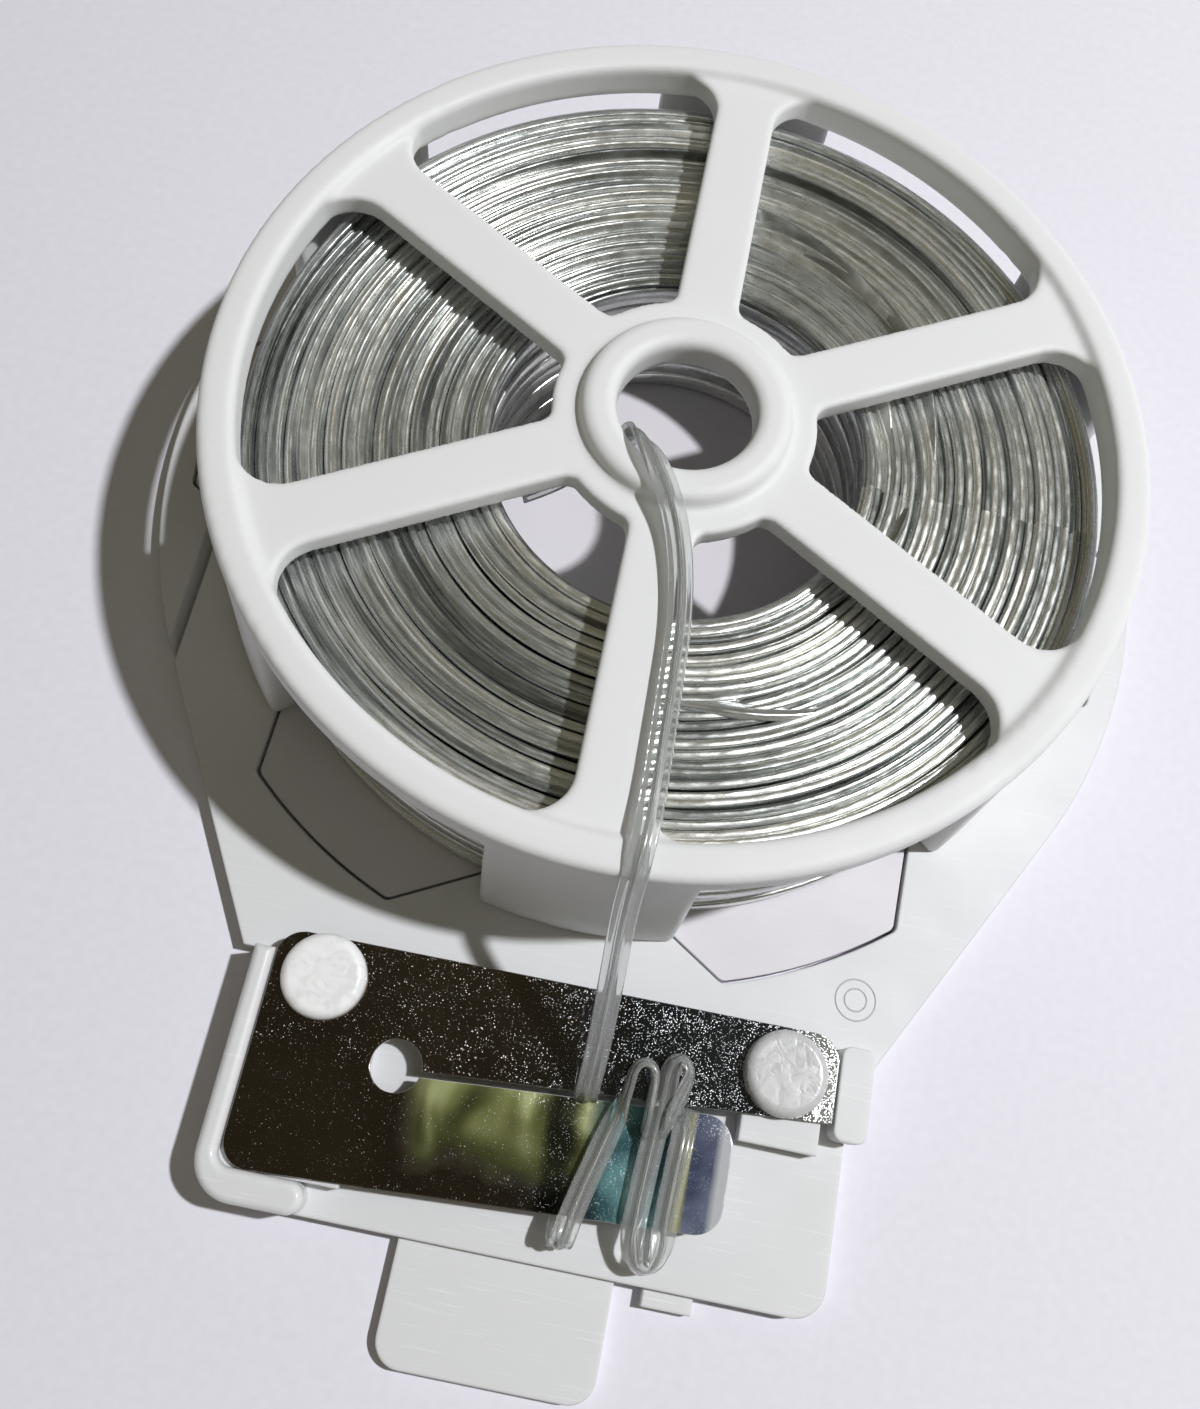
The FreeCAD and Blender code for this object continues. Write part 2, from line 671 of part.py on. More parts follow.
def rounded_route(name, route):
    """Straight runs joined by tangent arcs, as large as the shorter run allows."""
    points = [FreeCAD.Vector(*spot) for spot in route]
    edges = []
    radii = []
    last = points[0]
    for before, corner, after in zip(points, points[1:], points[2:]):
        arriving = corner - before
        leaving = after - corner
        trim = RUN_SHARE * min(arriving.Length, leaving.Length)
        arriving.normalize()
        leaving.normalize()
        half_turn = arriving.getAngle(leaving) / 2
        radius = trim / math.tan(half_turn)
        inward = leaving - arriving
        inward.normalize()
        sagitta = radius / math.cos(half_turn) - radius
        start = corner - arriving * trim
        end = corner + leaving * trim
        edges.append(Part.makeLine(last, start))
        edges.append(Part.Arc(start, corner + inward * sagitta, end).toShape())
        radii.append(radius)
        last = end
    edges.append(Part.makeLine(last, points[-1]))
    print("%s: radii %s" % (name, " ".join("%.1f" % radius for radius in radii)))
    return Part.Wire(edges)


def tie_tube(name, route):
    wire = rounded_route(name, route)
    tube = tube_along(wire, value("tie_thickness"))
    report_volume(name, tube, wire, value("tie_thickness"))
    return tube


# From the coil's inner wall up through the eyelet, over the ring and down to the slit.
LEAD_ROUTE = [
    (-15.6, -7.6, 13.0),
    (-11.8, -6.6, 16.2),
    (-8.0, -4.4, 18.6),
    (-5.2, -2.9, 21.4),
    (-4.6, -3.7, 24.8),
    (-2.9, -6.0, 26.4),
    (-0.8, -8.9, 26.3),
    (1.6, -13.2, 25.4),
    (3.1, -20.5, 25.1),
    (3.4, -30.0, 25.15),
    (3.7, -38.5, 25.2),
    (3.4, -44.0, 25.5),
    (3.2, -47.2, 21.8),
    (3.7, -52.6, 15.0),
    (4.1, -58.0, 8.6),
    (4.0, -61.4, 5.35),
]

# First turn about the tongue: under it, round its front edge, over it and back to the slit.
FIRST_WRAP = [
    (4.0, -62.6, 3.7),
    (4.0, -67.6, 3.65),
    (4.0, -71.8, 3.6),
    (4.05, -73.6, 3.7),
    (4.15, -74.15, 4.7),
    (4.3, -73.6, 5.7),
    (4.7, -71.2, 5.45),
    (6.1, -66.2, 5.4),
    (7.1, -62.8, 5.6),
    (7.6, -60.6, 6.35),
    (7.7, -58.0, 6.9),
    (8.75, -57.4, 7.1),
    (9.8, -58.0, 6.9),
    (9.8, -60.2, 6.6),
    (9.8, -61.6, 5.4),
]

# Second turn: its front bend lies open, and it ends at the slit's right end.
SECOND_WRAP = [
    (12.6, -62.4, 3.7),
    (13.2, -66.8, 3.65),
    (13.8, -70.8, 3.6),
    (13.7, -72.6, 3.75),
    (12.9, -73.9, 4.3),
    (11.4, -74.0, 5.0),
    (10.5, -72.8, 5.5),
    (10.45, -70.6, 5.5),
    (10.75, -66.0, 5.4),
    (11.0, -62.6, 5.6),
    (11.15, -60.2, 6.4),
    (11.2, -57.0, 6.95),
    (12.25, -56.4, 7.1),
    (13.3, -57.0, 6.9),
    (13.3, -59.9, 6.6),
    (13.3, -61.4, 5.4),
]


def make_tie():
    place_tube("wire_lead", tie_tube("lead", LEAD_ROUTE))
    turns = [tie_tube("first wrap", FIRST_WRAP), tie_tube("second wrap", SECOND_WRAP)]
    place_tube("wire_wraps", Part.makeCompound(turns))


def build():
    make_plate("base_plate", keep_left=False)
    make_plate("side_flap", keep_left=True)
    make_rear_cover()
    make_cage_posts()
    make_top_ring()
    make_spokes()
    make_eyelet_hub()
    make_cutter_head()
    make_thumb_tab()
    make_cutter_plate()
    make_press_tongue()
    make_stake("stake_left", "-stake_x")
    make_stake("stake_right", "stake_x")
    make_coil_part("wire_coil", COIL_BOTTOM, CORE_TOP)
    make_coil_part("wire_coil_turns", CORE_TOP, COIL_TOP)
    make_tie()
    doc.recompute()


def write():
    """Check every object of the document, then write one file for each sub-part."""
    failed = [item.Name for item in doc.Objects if {"Invalid", "Error"} & set(item.State)]
    if failed:
        raise RuntimeError("failed objects: " + ", ".join(failed))
    parts = [item for item in doc.Objects if item.TypeId in ("PartDesign::Body", "Part::Feature")]
    for item in parts:
        if item.Shape.isNull() or not item.Shape.isValid() or not item.Shape.Solids:
            raise RuntimeError("no valid solid: " + item.Label)
    os.makedirs("parts", exist_ok=True)
    for item in parts:
        item.Shape.exportStep(os.path.join("parts", item.Label + ".step"))
        box = item.Shape.BoundBox
        print("%-16s solids %d volume %9.1f  x %.1f..%.1f  y %.1f..%.1f  z %.1f..%.1f" % (
            item.Label, len(item.Shape.Solids), item.Shape.Volume,
            box.XMin, box.XMax, box.YMin, box.YMax, box.ZMin, box.ZMax))


build()
write()
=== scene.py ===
import math
import random

import bmesh
import bpy
from bpy.props import FloatProperty, FloatVectorProperty, IntProperty, PointerProperty
from mathutils import Matrix, Vector


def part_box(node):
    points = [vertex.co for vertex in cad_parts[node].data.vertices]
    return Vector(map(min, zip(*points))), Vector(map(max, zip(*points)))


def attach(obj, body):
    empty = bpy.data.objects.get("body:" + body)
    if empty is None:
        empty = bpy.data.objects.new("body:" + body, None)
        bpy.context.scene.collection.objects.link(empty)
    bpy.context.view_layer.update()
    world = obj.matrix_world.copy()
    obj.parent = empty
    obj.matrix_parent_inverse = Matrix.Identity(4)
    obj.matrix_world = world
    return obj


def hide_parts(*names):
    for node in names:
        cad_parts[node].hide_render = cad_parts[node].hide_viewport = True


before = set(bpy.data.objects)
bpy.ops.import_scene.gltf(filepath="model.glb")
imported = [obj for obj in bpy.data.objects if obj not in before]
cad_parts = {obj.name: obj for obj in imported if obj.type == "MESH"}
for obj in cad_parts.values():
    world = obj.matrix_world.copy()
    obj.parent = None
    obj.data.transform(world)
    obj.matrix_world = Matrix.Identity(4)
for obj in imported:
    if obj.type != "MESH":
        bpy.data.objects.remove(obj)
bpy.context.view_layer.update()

bl_info = {
    "name": "Tie Dispenser",
    "version": (1, 0, 0),
    "blender": (4, 5, 0),
    "location": "View3D > Sidebar > Dispenser",
    "description": "Finishes, coil, tie and stage of a hand dispenser for flat tie",
    "category": "Mesh",
}

CORE_LOW, CORE_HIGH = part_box("wire_coil")
TURNS_LOW, TURNS_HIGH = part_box("wire_coil_turns")
AXIS = (CORE_LOW + CORE_HIGH) / 2
COIL_OUTER = (CORE_HIGH.x - CORE_LOW.x) / 2
COIL_INNER = 0.0183
COIL_BOTTOM = CORE_LOW.z
COIL_TOP = TURNS_HIGH.z
MM = 0.001
COIL_SHIFT = Vector((0.1 * MM, -1.1 * MM, 0))


def at(x, y, z):
    """A point in the object's frame, from millimetres about the coil's axis."""
    return Vector((x * MM, y * MM + AXIS.y, z * MM))


# Sizes and colours that a user may change


class TieSizes(bpy.types.PropertyGroup):
    """Flat tie with a steel core"""

    width: FloatProperty(name="Tie width", description="Flat width of the tie",
                         default=2.25 * MM, unit="LENGTH", precision=5)
    body: FloatProperty(name="Tie body", description="Thickness of the tie's flat edges",
                        default=0.5 * MM, unit="LENGTH", precision=5)
    rib: FloatProperty(name="Tie rib", description="Thickness of the tie at its core",
                       default=0.9 * MM, unit="LENGTH", precision=5)
    core: FloatProperty(name="Core wire", description="Diameter of the steel core",
                        default=0.42 * MM, unit="LENGTH", precision=5)


class CoilSizes(bpy.types.PropertyGroup):
    """Winding of the coil"""

    turns: IntProperty(name="Turns", description="Turns of the top layer, from bore to rim",
                       default=26, min=2)
    rows: IntProperty(name="Rows", description="Rows of tie up the coil's walls", default=8, min=2)
    unevenness: FloatProperty(name="Unevenness", description="How far a turn may lie below its neighbours",
                              default=1.1 * MM, unit="LENGTH", precision=5)
    seed: IntProperty(name="Seed", description="Number that the uneven lay is drawn from", default=11)


class FinishColours(bpy.types.PropertyGroup):
    """Colours that the finishes start from"""

    housing: FloatVectorProperty(name="Housing", description="Colour of the moulding", subtype="COLOR",
                                 default=(0.745, 0.75, 0.765), min=0, max=1)
    cage: FloatVectorProperty(name="Cage", description="Colour of the cage and its hub", subtype="COLOR",
                              default=(0.80, 0.805, 0.815), min=0, max=1)
    cover: FloatVectorProperty(name="Cover", description="Colour of the rear cover", subtype="COLOR",
                               default=(0.74, 0.715, 0.76), min=0, max=1)
    stake: FloatVectorProperty(name="Stakes", description="Colour of the stakes", subtype="COLOR",
                               default=(0.93, 0.935, 0.945), min=0, max=1)
    # Dark brown steel colour: partly the steel's own colour, partly a painted reflection of dark
    # surroundings.
    steel: FloatVectorProperty(name="Steel", description="Colour of the cutter's steel", subtype="COLOR",
                               default=(0.20, 0.165, 0.14), min=0, max=1)
    sleeve: FloatVectorProperty(name="Sleeve", description="Colour of the tie's clear sleeve",
                                subtype="COLOR", default=(0.93, 0.95, 0.945), min=0, max=1)


class StageSizes(bpy.types.PropertyGroup):
    """Floor and light"""

    floor: FloatProperty(name="Floor", description="Side of the square floor", default=4.0, unit="LENGTH")
    key: FloatProperty(name="Key light", description="Power of the key light", default=5.95, unit="POWER")
    fill: FloatProperty(name="Fill light", description="Brightness of the surroundings", default=0.11)


def settings(name):
    """The scene's values of one property group."""
    return getattr(bpy.context.scene, "dispenser_" + name)


# Mesh helpers


def mesh_piece(name, verts, faces, uvs, material, body):
    """A smooth mesh object that rides on a body and takes its finish from a slot."""
    mesh = bpy.data.meshes.new(name)
    mesh.from_pydata(verts, [], faces)
    layer = mesh.uv_layers.new(name="along_and_across")
    flat = [part for uv in uvs for part in uv]
    layer.data.foreach_set("uv", flat)
    mesh.shade_smooth()
    mesh.materials.append(material)
    piece = bpy.data.objects.new(name, mesh)
    bpy.context.scene.collection.objects.link(piece)
    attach(piece, body)
    return piece


class Sweep:
    """Sections strung along lines, gathered into one mesh."""

    def __init__(self):
        self.verts = []
        self.faces = []
        self.uvs = []

    def add(self, points, normals, section, closed=False, across=0.0):
        """Section points are (across, thick) pairs. A normal is the way the flat side faces."""
        count = len(points)
        size = len(section)
        base = len(self.verts)
        lengths = [0.0]
        for index in range(count):
            before = points[index - 1] if closed or index else points[0]
            after = points[(index + 1) % count] if closed or index < count - 1 else points[-1]
            tangent = (after - before).normalized()
            up = normals[index] - tangent * normals[index].dot(tangent)
            up.normalize()
            side = tangent.cross(up)
            for wide, thick in section:
                self.verts.append(points[index] + side * wide + up * thick)
            step = (points[(index + 1) % count] - points[index]).length
            lengths.append(lengths[-1] + step / MM)
        spans = count if closed else count - 1
        for index in range(spans):
            here = base + index * size
            there = base + (index + 1) % count * size
            for corner in range(size):
                following = (corner + 1) % size
                self.faces.append((here + corner, here + following, there + following, there + corner))
                near = across + corner / size
                far = across + (corner + 1) / size
                self.uvs += [(lengths[index], near), (lengths[index], far),
                             (lengths[index + 1], far), (lengths[index + 1], near)]
        if not closed:
            for start, order in ((base, range(size - 1, -1, -1)), (base + (count - 1) * size, range(size))):
                self.faces.append(tuple(start + corner for corner in order))
                self.uvs += [(0.0, across)] * size

    def piece(self, name, material, body, slot):
        """The gathered mesh as one piece."""
        return mesh_piece(name, self.verts, self.faces, self.uvs, material, body)


def smooth_route(spots):
    """Points of a smooth line that a list of control points leads, in the object's frame."""
    curve = bpy.data.curves.new("route", "CURVE")
    curve.dimensions = "3D"
    curve.resolution_u = 8
    line = curve.splines.new("NURBS")
    line.points.add(len(spots) - 1)
    for point, spot in zip(line.points, spots):
        point.co = (*at(*spot[:3]), 1.0)
    line.order_u = 3
    line.use_endpoint_u = True
    holder = bpy.data.objects.new("route", curve)
    mesh = bpy.data.meshes.new_from_object(holder)
    points = [vertex.co.copy() for vertex in mesh.vertices]
    bpy.data.meshes.remove(mesh)
    bpy.data.objects.remove(holder)
    bpy.data.curves.remove(curve)
    return points


def route_normals(spots, count):
    """The way the flat side faces, spread from the control points over the line."""
    normals = []
    for index in range(count):
        place = index / (count - 1) * (len(spots) - 1)
        low = min(int(place), len(spots) - 2)
        mix = place - low
        normal = Vector(spots[low][3:]).lerp(Vector(spots[low + 1][3:]), mix)
        normals.append(normal.normalized())
    return normals


def round_section(radius, corners):
    """Round section of a wire."""
    angles = [2 * math.pi * corner / corners for corner in range(corners)]
    return [(radius * math.cos(angle), radius * math.sin(angle)) for angle in angles]


def tie_section():
    """Flat sleeve with a rib over its core and a low rib at each edge."""
    sizes = settings("tie")
    wide = sizes.width / 2
    thin = sizes.body / 2
    rib = sizes.rib / 2
    shape = ((-1.0, 0.25), (-0.94, 0.85), (-0.82, 1.0), (-0.62, 0.80), (-0.42, 0.95), (-0.22, 1.55),
             (0.0, 1.8), (0.22, 1.55), (0.42, 0.95), (0.62, 0.80), (0.82, 1.0), (0.94, 0.85), (1.0, 0.25))
    upper = [(across * wide, min(high * thin, rib)) for across, high in shape]
    lower = [(across, -high) for across, high in reversed(upper)]
    return lower + upper


# Node helpers


class Nodes:
    """Adds nodes to a tree and links them by name."""

    def __init__(self, tree):
        self.tree = tree

    def add(self, kind, **values):
        """New node. Each value goes to the socket or the setting of its name."""
        node = self.tree.nodes.new("ShaderNode" + kind)
        for name, value in values.items():
            socket = name.replace("_", " ")
            if isinstance(value, bpy.types.NodeSocket):
                self.tree.links.new(value, node.inputs[socket])
            elif socket in node.inputs:
                node.inputs[socket].default_value = value
            else:
                setattr(node, name, value)
        return node

    def link(self, output, node, socket):
        """Link an output to a node's input of the given name or number."""
        self.tree.links.new(output, node.inputs[socket])

    def math(self, operation, *values, clamp=False):
        """Result of a sum on sockets and plain numbers."""
        node = self.tree.nodes.new("ShaderNodeMath")
        node.operation = operation
        node.use_clamp = clamp
        for index, value in enumerate(values):
            if isinstance(value, (int, float)):
                node.inputs[index].default_value = value
            else:
                self.tree.links.new(value, node.inputs[index])
        return node.outputs[0]

    def ramp(self, factor, *stops):
        """Colour ramp through (place, colour or grey) stops."""
        node = self.tree.nodes.new("ShaderNodeValToRGB")
        ramp = node.color_ramp
        while len(ramp.elements) < len(stops):
            ramp.elements.new(0.5)
        for element, (place, colour) in zip(ramp.elements, stops):
            element.position = place
            shade = (colour,) * 3 if isinstance(colour, (int, float)) else colour
            element.color = (*shade, 1.0)
        self.tree.links.new(factor, node.inputs["Fac"])
        return node.outputs["Color"]

    def mix(self, factor, first, second):
        """Mix of two colours, each a socket or a plain colour."""
        node = self.tree.nodes.new("ShaderNodeMix")
        node.data_type = "RGBA"
        for socket, value in ((node.inputs[0], factor), (node.inputs[6], first), (node.inputs[7], second)):
            if isinstance(value, bpy.types.NodeSocket):
                self.tree.links.new(value, socket)
            elif isinstance(value, (int, float)):
                socket.default_value = value
            else:
                socket.default_value = (*value[:3], 1.0)
        return node.outputs[2]


def new_group(name, inputs, outputs):
    """Node group with (name, kind, default) inputs and (name, kind) outputs."""
    group = bpy.data.node_groups.new(name, "ShaderNodeTree")
    for label, kind, default in inputs:
        socket = group.interface.new_socket(label, in_out="INPUT", socket_type="NodeSocket" + kind)
        socket.default_value = default
    for label, kind in outputs:
        group.interface.new_socket(label, in_out="OUTPUT", socket_type="NodeSocket" + kind)
    nodes = Nodes(group)
    entry = group.nodes.new("NodeGroupInput")
    leave = group.nodes.new("NodeGroupOutput")
    return nodes, entry.outputs, leave


def stretched(nodes, scale):
    """Object coordinates stretched by a scale on each axis."""
    place = nodes.add("TexCoord").outputs["Object"]
    return nodes.add("Mapping", Vector=place, Scale=scale).outputs[0]


def along_tie(nodes, along, across):
    """Coordinates in millimetres along the tie and in turns about it, stretched by two scales."""
    place = nodes.add("UVMap", uv_map="along_and_across").outputs[0]
    return nodes.add("Mapping", Vector=place, Scale=(along, across, 1)).outputs[0]


def span(nodes, value, low, high, start=0.0, end=1.0):
    """Straight climb from start to end between two places."""
    node = nodes.add("MapRange", Value=value)
    for socket, number in (("From Min", low), ("From Max", high), ("To Min", start), ("To Max", end)):
        node.inputs[socket].default_value = number
    return node.outputs[0]


def make_mottle_group():
    """Broad and fine unevenness of a moulded or rolled surface."""
    nodes, given, leave = new_group("surface_mottle", [("Scale", "Float", 100.0), ("Roughen", "Float", 0.5)],
                                    [("Mask", "Float"), ("Height", "Float")])
    place = stretched(nodes, (1, 1, 1))
    broad = nodes.add("TexNoise", Vector=place, Scale=given["Scale"], Detail=3.0, Roughness=0.6)
    fine_scale = nodes.math("MULTIPLY", given["Scale"], 9.0)
    fine = nodes.add("TexNoise", Vector=place, Scale=fine_scale, Detail=2.0)
    part = nodes.math("MULTIPLY", fine.outputs["Fac"], given["Roughen"])
    nodes.link(broad.outputs["Fac"], leave, "Mask")
    nodes.link(nodes.math("ADD", broad.outputs["Fac"], part), leave, "Height")


def make_scratch_group():
    """Short hairline scratches that run two ways."""
    nodes, given, leave = new_group("hairline_scratches", [("Amount", "Float", 0.5)], [("Mask", "Float")])
    masks = []
    for turn, scale in ((0.35, (120, 4200, 120)), (1.25, (150, 5200, 150))):
        place = nodes.add("TexCoord").outputs["Object"]
        turned = nodes.add("Mapping", Vector=place, Rotation=(0, 0, turn), Scale=scale)
        lines = nodes.add("TexNoise", Vector=turned.outputs[0], Scale=1.0, Detail=1.0)
        masks.append(span(nodes, lines.outputs["Fac"], 0.66, 0.74))
    both = nodes.math("MAXIMUM", *masks)
    nodes.link(nodes.math("MULTIPLY", both, given["Amount"], clamp=True), leave, "Mask")


def make_dust_group():
    """Small pale specks, some joined."""
    nodes, given, leave = new_group("dust_specks", [("Scale", "Float", 2500.0), ("Amount", "Float", 0.4)],
                                    [("Mask", "Float")])
    place = stretched(nodes, (1, 1, 1))
    cells = nodes.add("TexVoronoi", Vector=place, Scale=given["Scale"], Randomness=1.0)
    drift = nodes.add("TexNoise", Vector=place, Scale=700.0, Detail=3.0)
    reach = nodes.math("MULTIPLY", drift.outputs["Fac"], given["Amount"])
    inside = nodes.math("SUBTRACT", reach, cells.outputs["Distance"])
    nodes.link(nodes.math("MULTIPLY", inside, 9.0, clamp=True), leave, "Mask")


def make_edge_group():
    """Rounded edges, and a mask of where they are."""
    nodes, given, leave = new_group("soft_edges", [("Radius", "Float", 0.0003)],
                                    [("Normal", "Vector"), ("Mask", "Float")])
    rounded = nodes.add("Bevel", samples=6, Radius=given["Radius"])
    flat = nodes.add("NewGeometry")
    alike = nodes.add("VectorMath", operation="DOT_PRODUCT")
    nodes.link(rounded.outputs[0], alike, 0)
    nodes.link(flat.outputs["Normal"], alike, 1)
    apart = nodes.math("SUBTRACT", 1.0, alike.outputs["Value"])
    nodes.link(rounded.outputs[0], leave, "Normal")
    nodes.link(nodes.math("MULTIPLY", apart, 4.0, clamp=True), leave, "Mask")


def use_group(nodes, name, **values):
    """Outputs of a shared group, with its inputs set or linked by name."""
    node = nodes.tree.nodes.new("ShaderNodeGroup")
    node.node_tree = bpy.data.node_groups[name]
    for socket, value in values.items():
        if isinstance(value, bpy.types.NodeSocket):
            nodes.tree.links.new(value, node.inputs[socket])
        else:
            node.inputs[socket].default_value = value
    return node.outputs


def new_finish(name, **sockets):
    """Material with a Principled shader, whose plain sockets are set by name."""
    material = bpy.data.materials.new(name)
    material.use_nodes = True
    nodes = Nodes(material.node_tree)
    shader = material.node_tree.nodes["Principled BSDF"]
    for socket, value in sockets.items():
        shader.inputs[socket.replace("_", " ")].default_value = value
    return material, nodes, shader


def bumped(nodes, height, strength, distance, normal=None):
    """Normal that a height pushes up and down."""
    bump = nodes.add("Bump", Height=height, Strength=strength, Distance=distance)
    if normal:
        nodes.link(normal, bump, "Normal")
    return bump.outputs[0]


# Finishes

MILKY_RADIUS = (1.0, 0.95, 0.9)


def make_moulded(name, colour, edge, scratch, milky, gloss=0.0):
    """Matt polypropylene, a little milky, with soft edges and faint scratches."""
    material, nodes, shader = new_finish(name, Roughness=0.5, IOR=1.49, Subsurface_Weight=milky,
                                         Subsurface_Radius=MILKY_RADIUS, Subsurface_Scale=1.2 * MM,
                                         Specular_IOR_Level=0.3, Coat_Weight=gloss, Coat_Roughness=0.16)
    edges = use_group(nodes, "soft_edges", Radius=edge)
    mottle = use_group(nodes, "surface_mottle", Scale=140.0, Roughen=0.5)
    lines = use_group(nodes, "hairline_scratches", Amount=scratch)
    darker = tuple(part * 0.955 for part in colour)
    base = nodes.mix(mottle["Mask"], colour, darker)
    pale = tuple(min(1.0, part * 1.10) for part in colour)
    nodes.link(nodes.mix(lines["Mask"], base, pale), shader, "Base Color")
    rough = nodes.ramp(mottle["Mask"], (0.3, 0.44), (0.7, 0.58))
    nodes.link(rough, shader, "Roughness")
    nodes.link(bumped(nodes, mottle["Height"], 0.10, 0.1 * MM, edges["Normal"]), shader, "Normal")
    return material


def make_stake_finish(name, colour, through, swirling):
    """Formed plastic with swirls left by its forming."""
    material, nodes, shader = new_finish(name, Roughness=0.3, IOR=1.49, Transmission_Weight=through,
                                         Subsurface_Weight=0.3, Subsurface_Radius=MILKY_RADIUS,
                                         Subsurface_Scale=1.0 * MM)
    place = stretched(nodes, (1, 1, 1))
    swirl = nodes.add("TexNoise", Vector=place, Scale=420.0, Detail=3.0, Distortion=2.2)
    tone = nodes.ramp(swirl.outputs["Fac"], (0.35, tuple(part * 0.88 for part in colour)), (0.65, colour))
    nodes.link(tone, shader, "Base Color")
    nodes.link(nodes.ramp(swirl.outputs["Fac"], (0.3, 0.18), (0.7, 0.42)), shader, "Roughness")
    nodes.link(bumped(nodes, swirl.outputs["Fac"], swirling, 0.2 * MM), shader, "Normal")
    return material


# Places on the steel in millimetres, across from the middle and down from the coil's axis
SLIT = -61.5
SLIT_SLOPE = -0.0762
TONGUE_ROOT = -13.5
TEAL_START = 4.5
YELLOW_START = 13.0
NOSE_START = 14.3
NOSE_EDGE = 16.5

# Colours of the steel, its painted reflections, painted shadow and painted highlights, and its dust
# Dark grey middle of the strip: partly a painted reflection of dark surroundings.
STRIP_MIDDLE = (0.075, 0.085, 0.10)
# Pale end of the strip: a painted glare.
STRIP_END_GLARE = (0.80, 0.82, 0.82)
# Olive on the tongue, darker lower down: a painted reflection of surroundings.
OLIVE_STOPS = ((0.36, (0.03, 0.028, 0.012)), (0.46, (0.12, 0.13, 0.045)),
               (0.54, (0.27, 0.29, 0.11)), (0.64, (0.60, 0.64, 0.33)))
DEEP_OLIVE = (0.05, 0.055, 0.018)
# Teal on the tongue: a painted reflection.
TEAL_STOPS = ((0.36, (0.012, 0.04, 0.055)), (0.52, (0.05, 0.14, 0.16)), (0.64, (0.18, 0.38, 0.40)))
# Painted shadow of the tie, just left of where it crosses the tongue.
PAINTED_TIE_SHADOW = (0.010, 0.011, 0.008)
# Yellow band at the tongue's bend: a painted reflection.
YELLOW = (0.42, 0.42, 0.13)
# Blue-grey nose: a painted reflection.
NOSE_STOPS = ((0.36, (0.09, 0.11, 0.20)), (0.64, (0.30, 0.34, 0.48)))
# Pale nose edge: a painted highlight.
NOSE_EDGE_HIGHLIGHT = (0.86, 0.89, 0.96)
# Pale colour on the steel's edges: a painted highlight.
EDGE_HIGHLIGHT = (0.88, 0.90, 0.90)
DUST = (0.80, 0.82, 0.84)


def strip_colour(nodes, across, place, colour):
    """Dark brown steel that turns grey to the right, with a painted glare at its end. The dark tones are
    partly a painted reflection of dark surroundings.
    """
    broad = nodes.add("TexNoise", Vector=place, Scale=70.0, Detail=2.0).outputs["Fac"]
    brown = nodes.mix(broad, colour, (colour[0] * 0.30, colour[1] * 0.26, colour[2] * 0.20))
    strip = nodes.mix(span(nodes, across, -4 * MM, 8 * MM), brown, STRIP_MIDDLE)
    # Painted glare at the strip's right end.
    return nodes.mix(span(nodes, across, 21 * MM, 25 * MM, 0.0, 0.8), strip, STRIP_END_GLARE)


def paint_tongue_light(nodes, across, down, blot, strip):
    """Painted reflections on the tongue from left to right: olive, a painted shadow of the tie, teal, a
    yellow band at the bend and blue-grey, with a painted highlight on the nose's edge. Also the share where
    the painted reflections make the steel less metallic.
    """
    slit = nodes.math("ADD", down, nodes.math("MULTIPLY", across, SLIT_SLOPE))
    on_tongue = span(nodes, slit, (SLIT - 0.1) * MM, (SLIT + 0.1) * MM, 1.0, 0.0)

    def right_of(start, soft, most=1.0):
        climb = span(nodes, across, start * MM, (start + soft) * MM, 0.0, most)
        return nodes.math("MULTIPLY", climb, on_tongue)

    wave = nodes.math("MULTIPLY", nodes.math("SUBTRACT", blot, 0.5), 9 * MM)
    low_edge = nodes.math("ADD", down, wave)
    olive_place = nodes.math("MULTIPLY", span(nodes, low_edge, -70.5 * MM, -68.5 * MM),
                             span(nodes, across, -12.5 * MM, -10.0 * MM))
    olive_end = span(nodes, across, TEAL_START * MM, (TEAL_START + 2) * MM, 1.0, 0.0)
    olive_place = nodes.math("MULTIPLY", nodes.math("MULTIPLY", olive_place, olive_end), on_tongue)
    # Olive painted reflection, darker towards the bottom of the tongue.
    olive = nodes.mix(span(nodes, down, -70 * MM, -64 * MM), DEEP_OLIVE, nodes.ramp(blot, *OLIVE_STOPS))
    tongue_painted_light = nodes.mix(olive_place, strip, olive)
    teal_place = right_of(TEAL_START, 2.5)
    tongue_painted_light = nodes.mix(teal_place, tongue_painted_light, nodes.ramp(blot, *TEAL_STOPS))
    # Painted shadow that the tie casts on the tongue.
    dark = nodes.math("MULTIPLY", right_of(0.8, 1.0), span(nodes, across, 3.2 * MM, 4.4 * MM, 0.85, 0.0))
    tongue_painted_light = nodes.mix(dark, tongue_painted_light, PAINTED_TIE_SHADOW)
    tongue_painted_light = nodes.mix(right_of(YELLOW_START, 0.4), tongue_painted_light, YELLOW)
    tongue_painted_light = nodes.mix(right_of(NOSE_START, 0.3), tongue_painted_light, nodes.ramp(blot, *NOSE_STOPS))
    # Painted highlight on the nose's edge.
    tongue_painted_light = nodes.mix(right_of(NOSE_EDGE, 0.7, 0.95), tongue_painted_light, NOSE_EDGE_HIGHLIGHT)
    # Where the painted reflections lie, the steel is made less metallic so that they show.
    painted_reflection_share = nodes.math("MAXIMUM", nodes.math("MULTIPLY", olive_place, 0.6),
                      nodes.math("MULTIPLY", teal_place, 0.55))
    return tongue_painted_light, painted_reflection_share


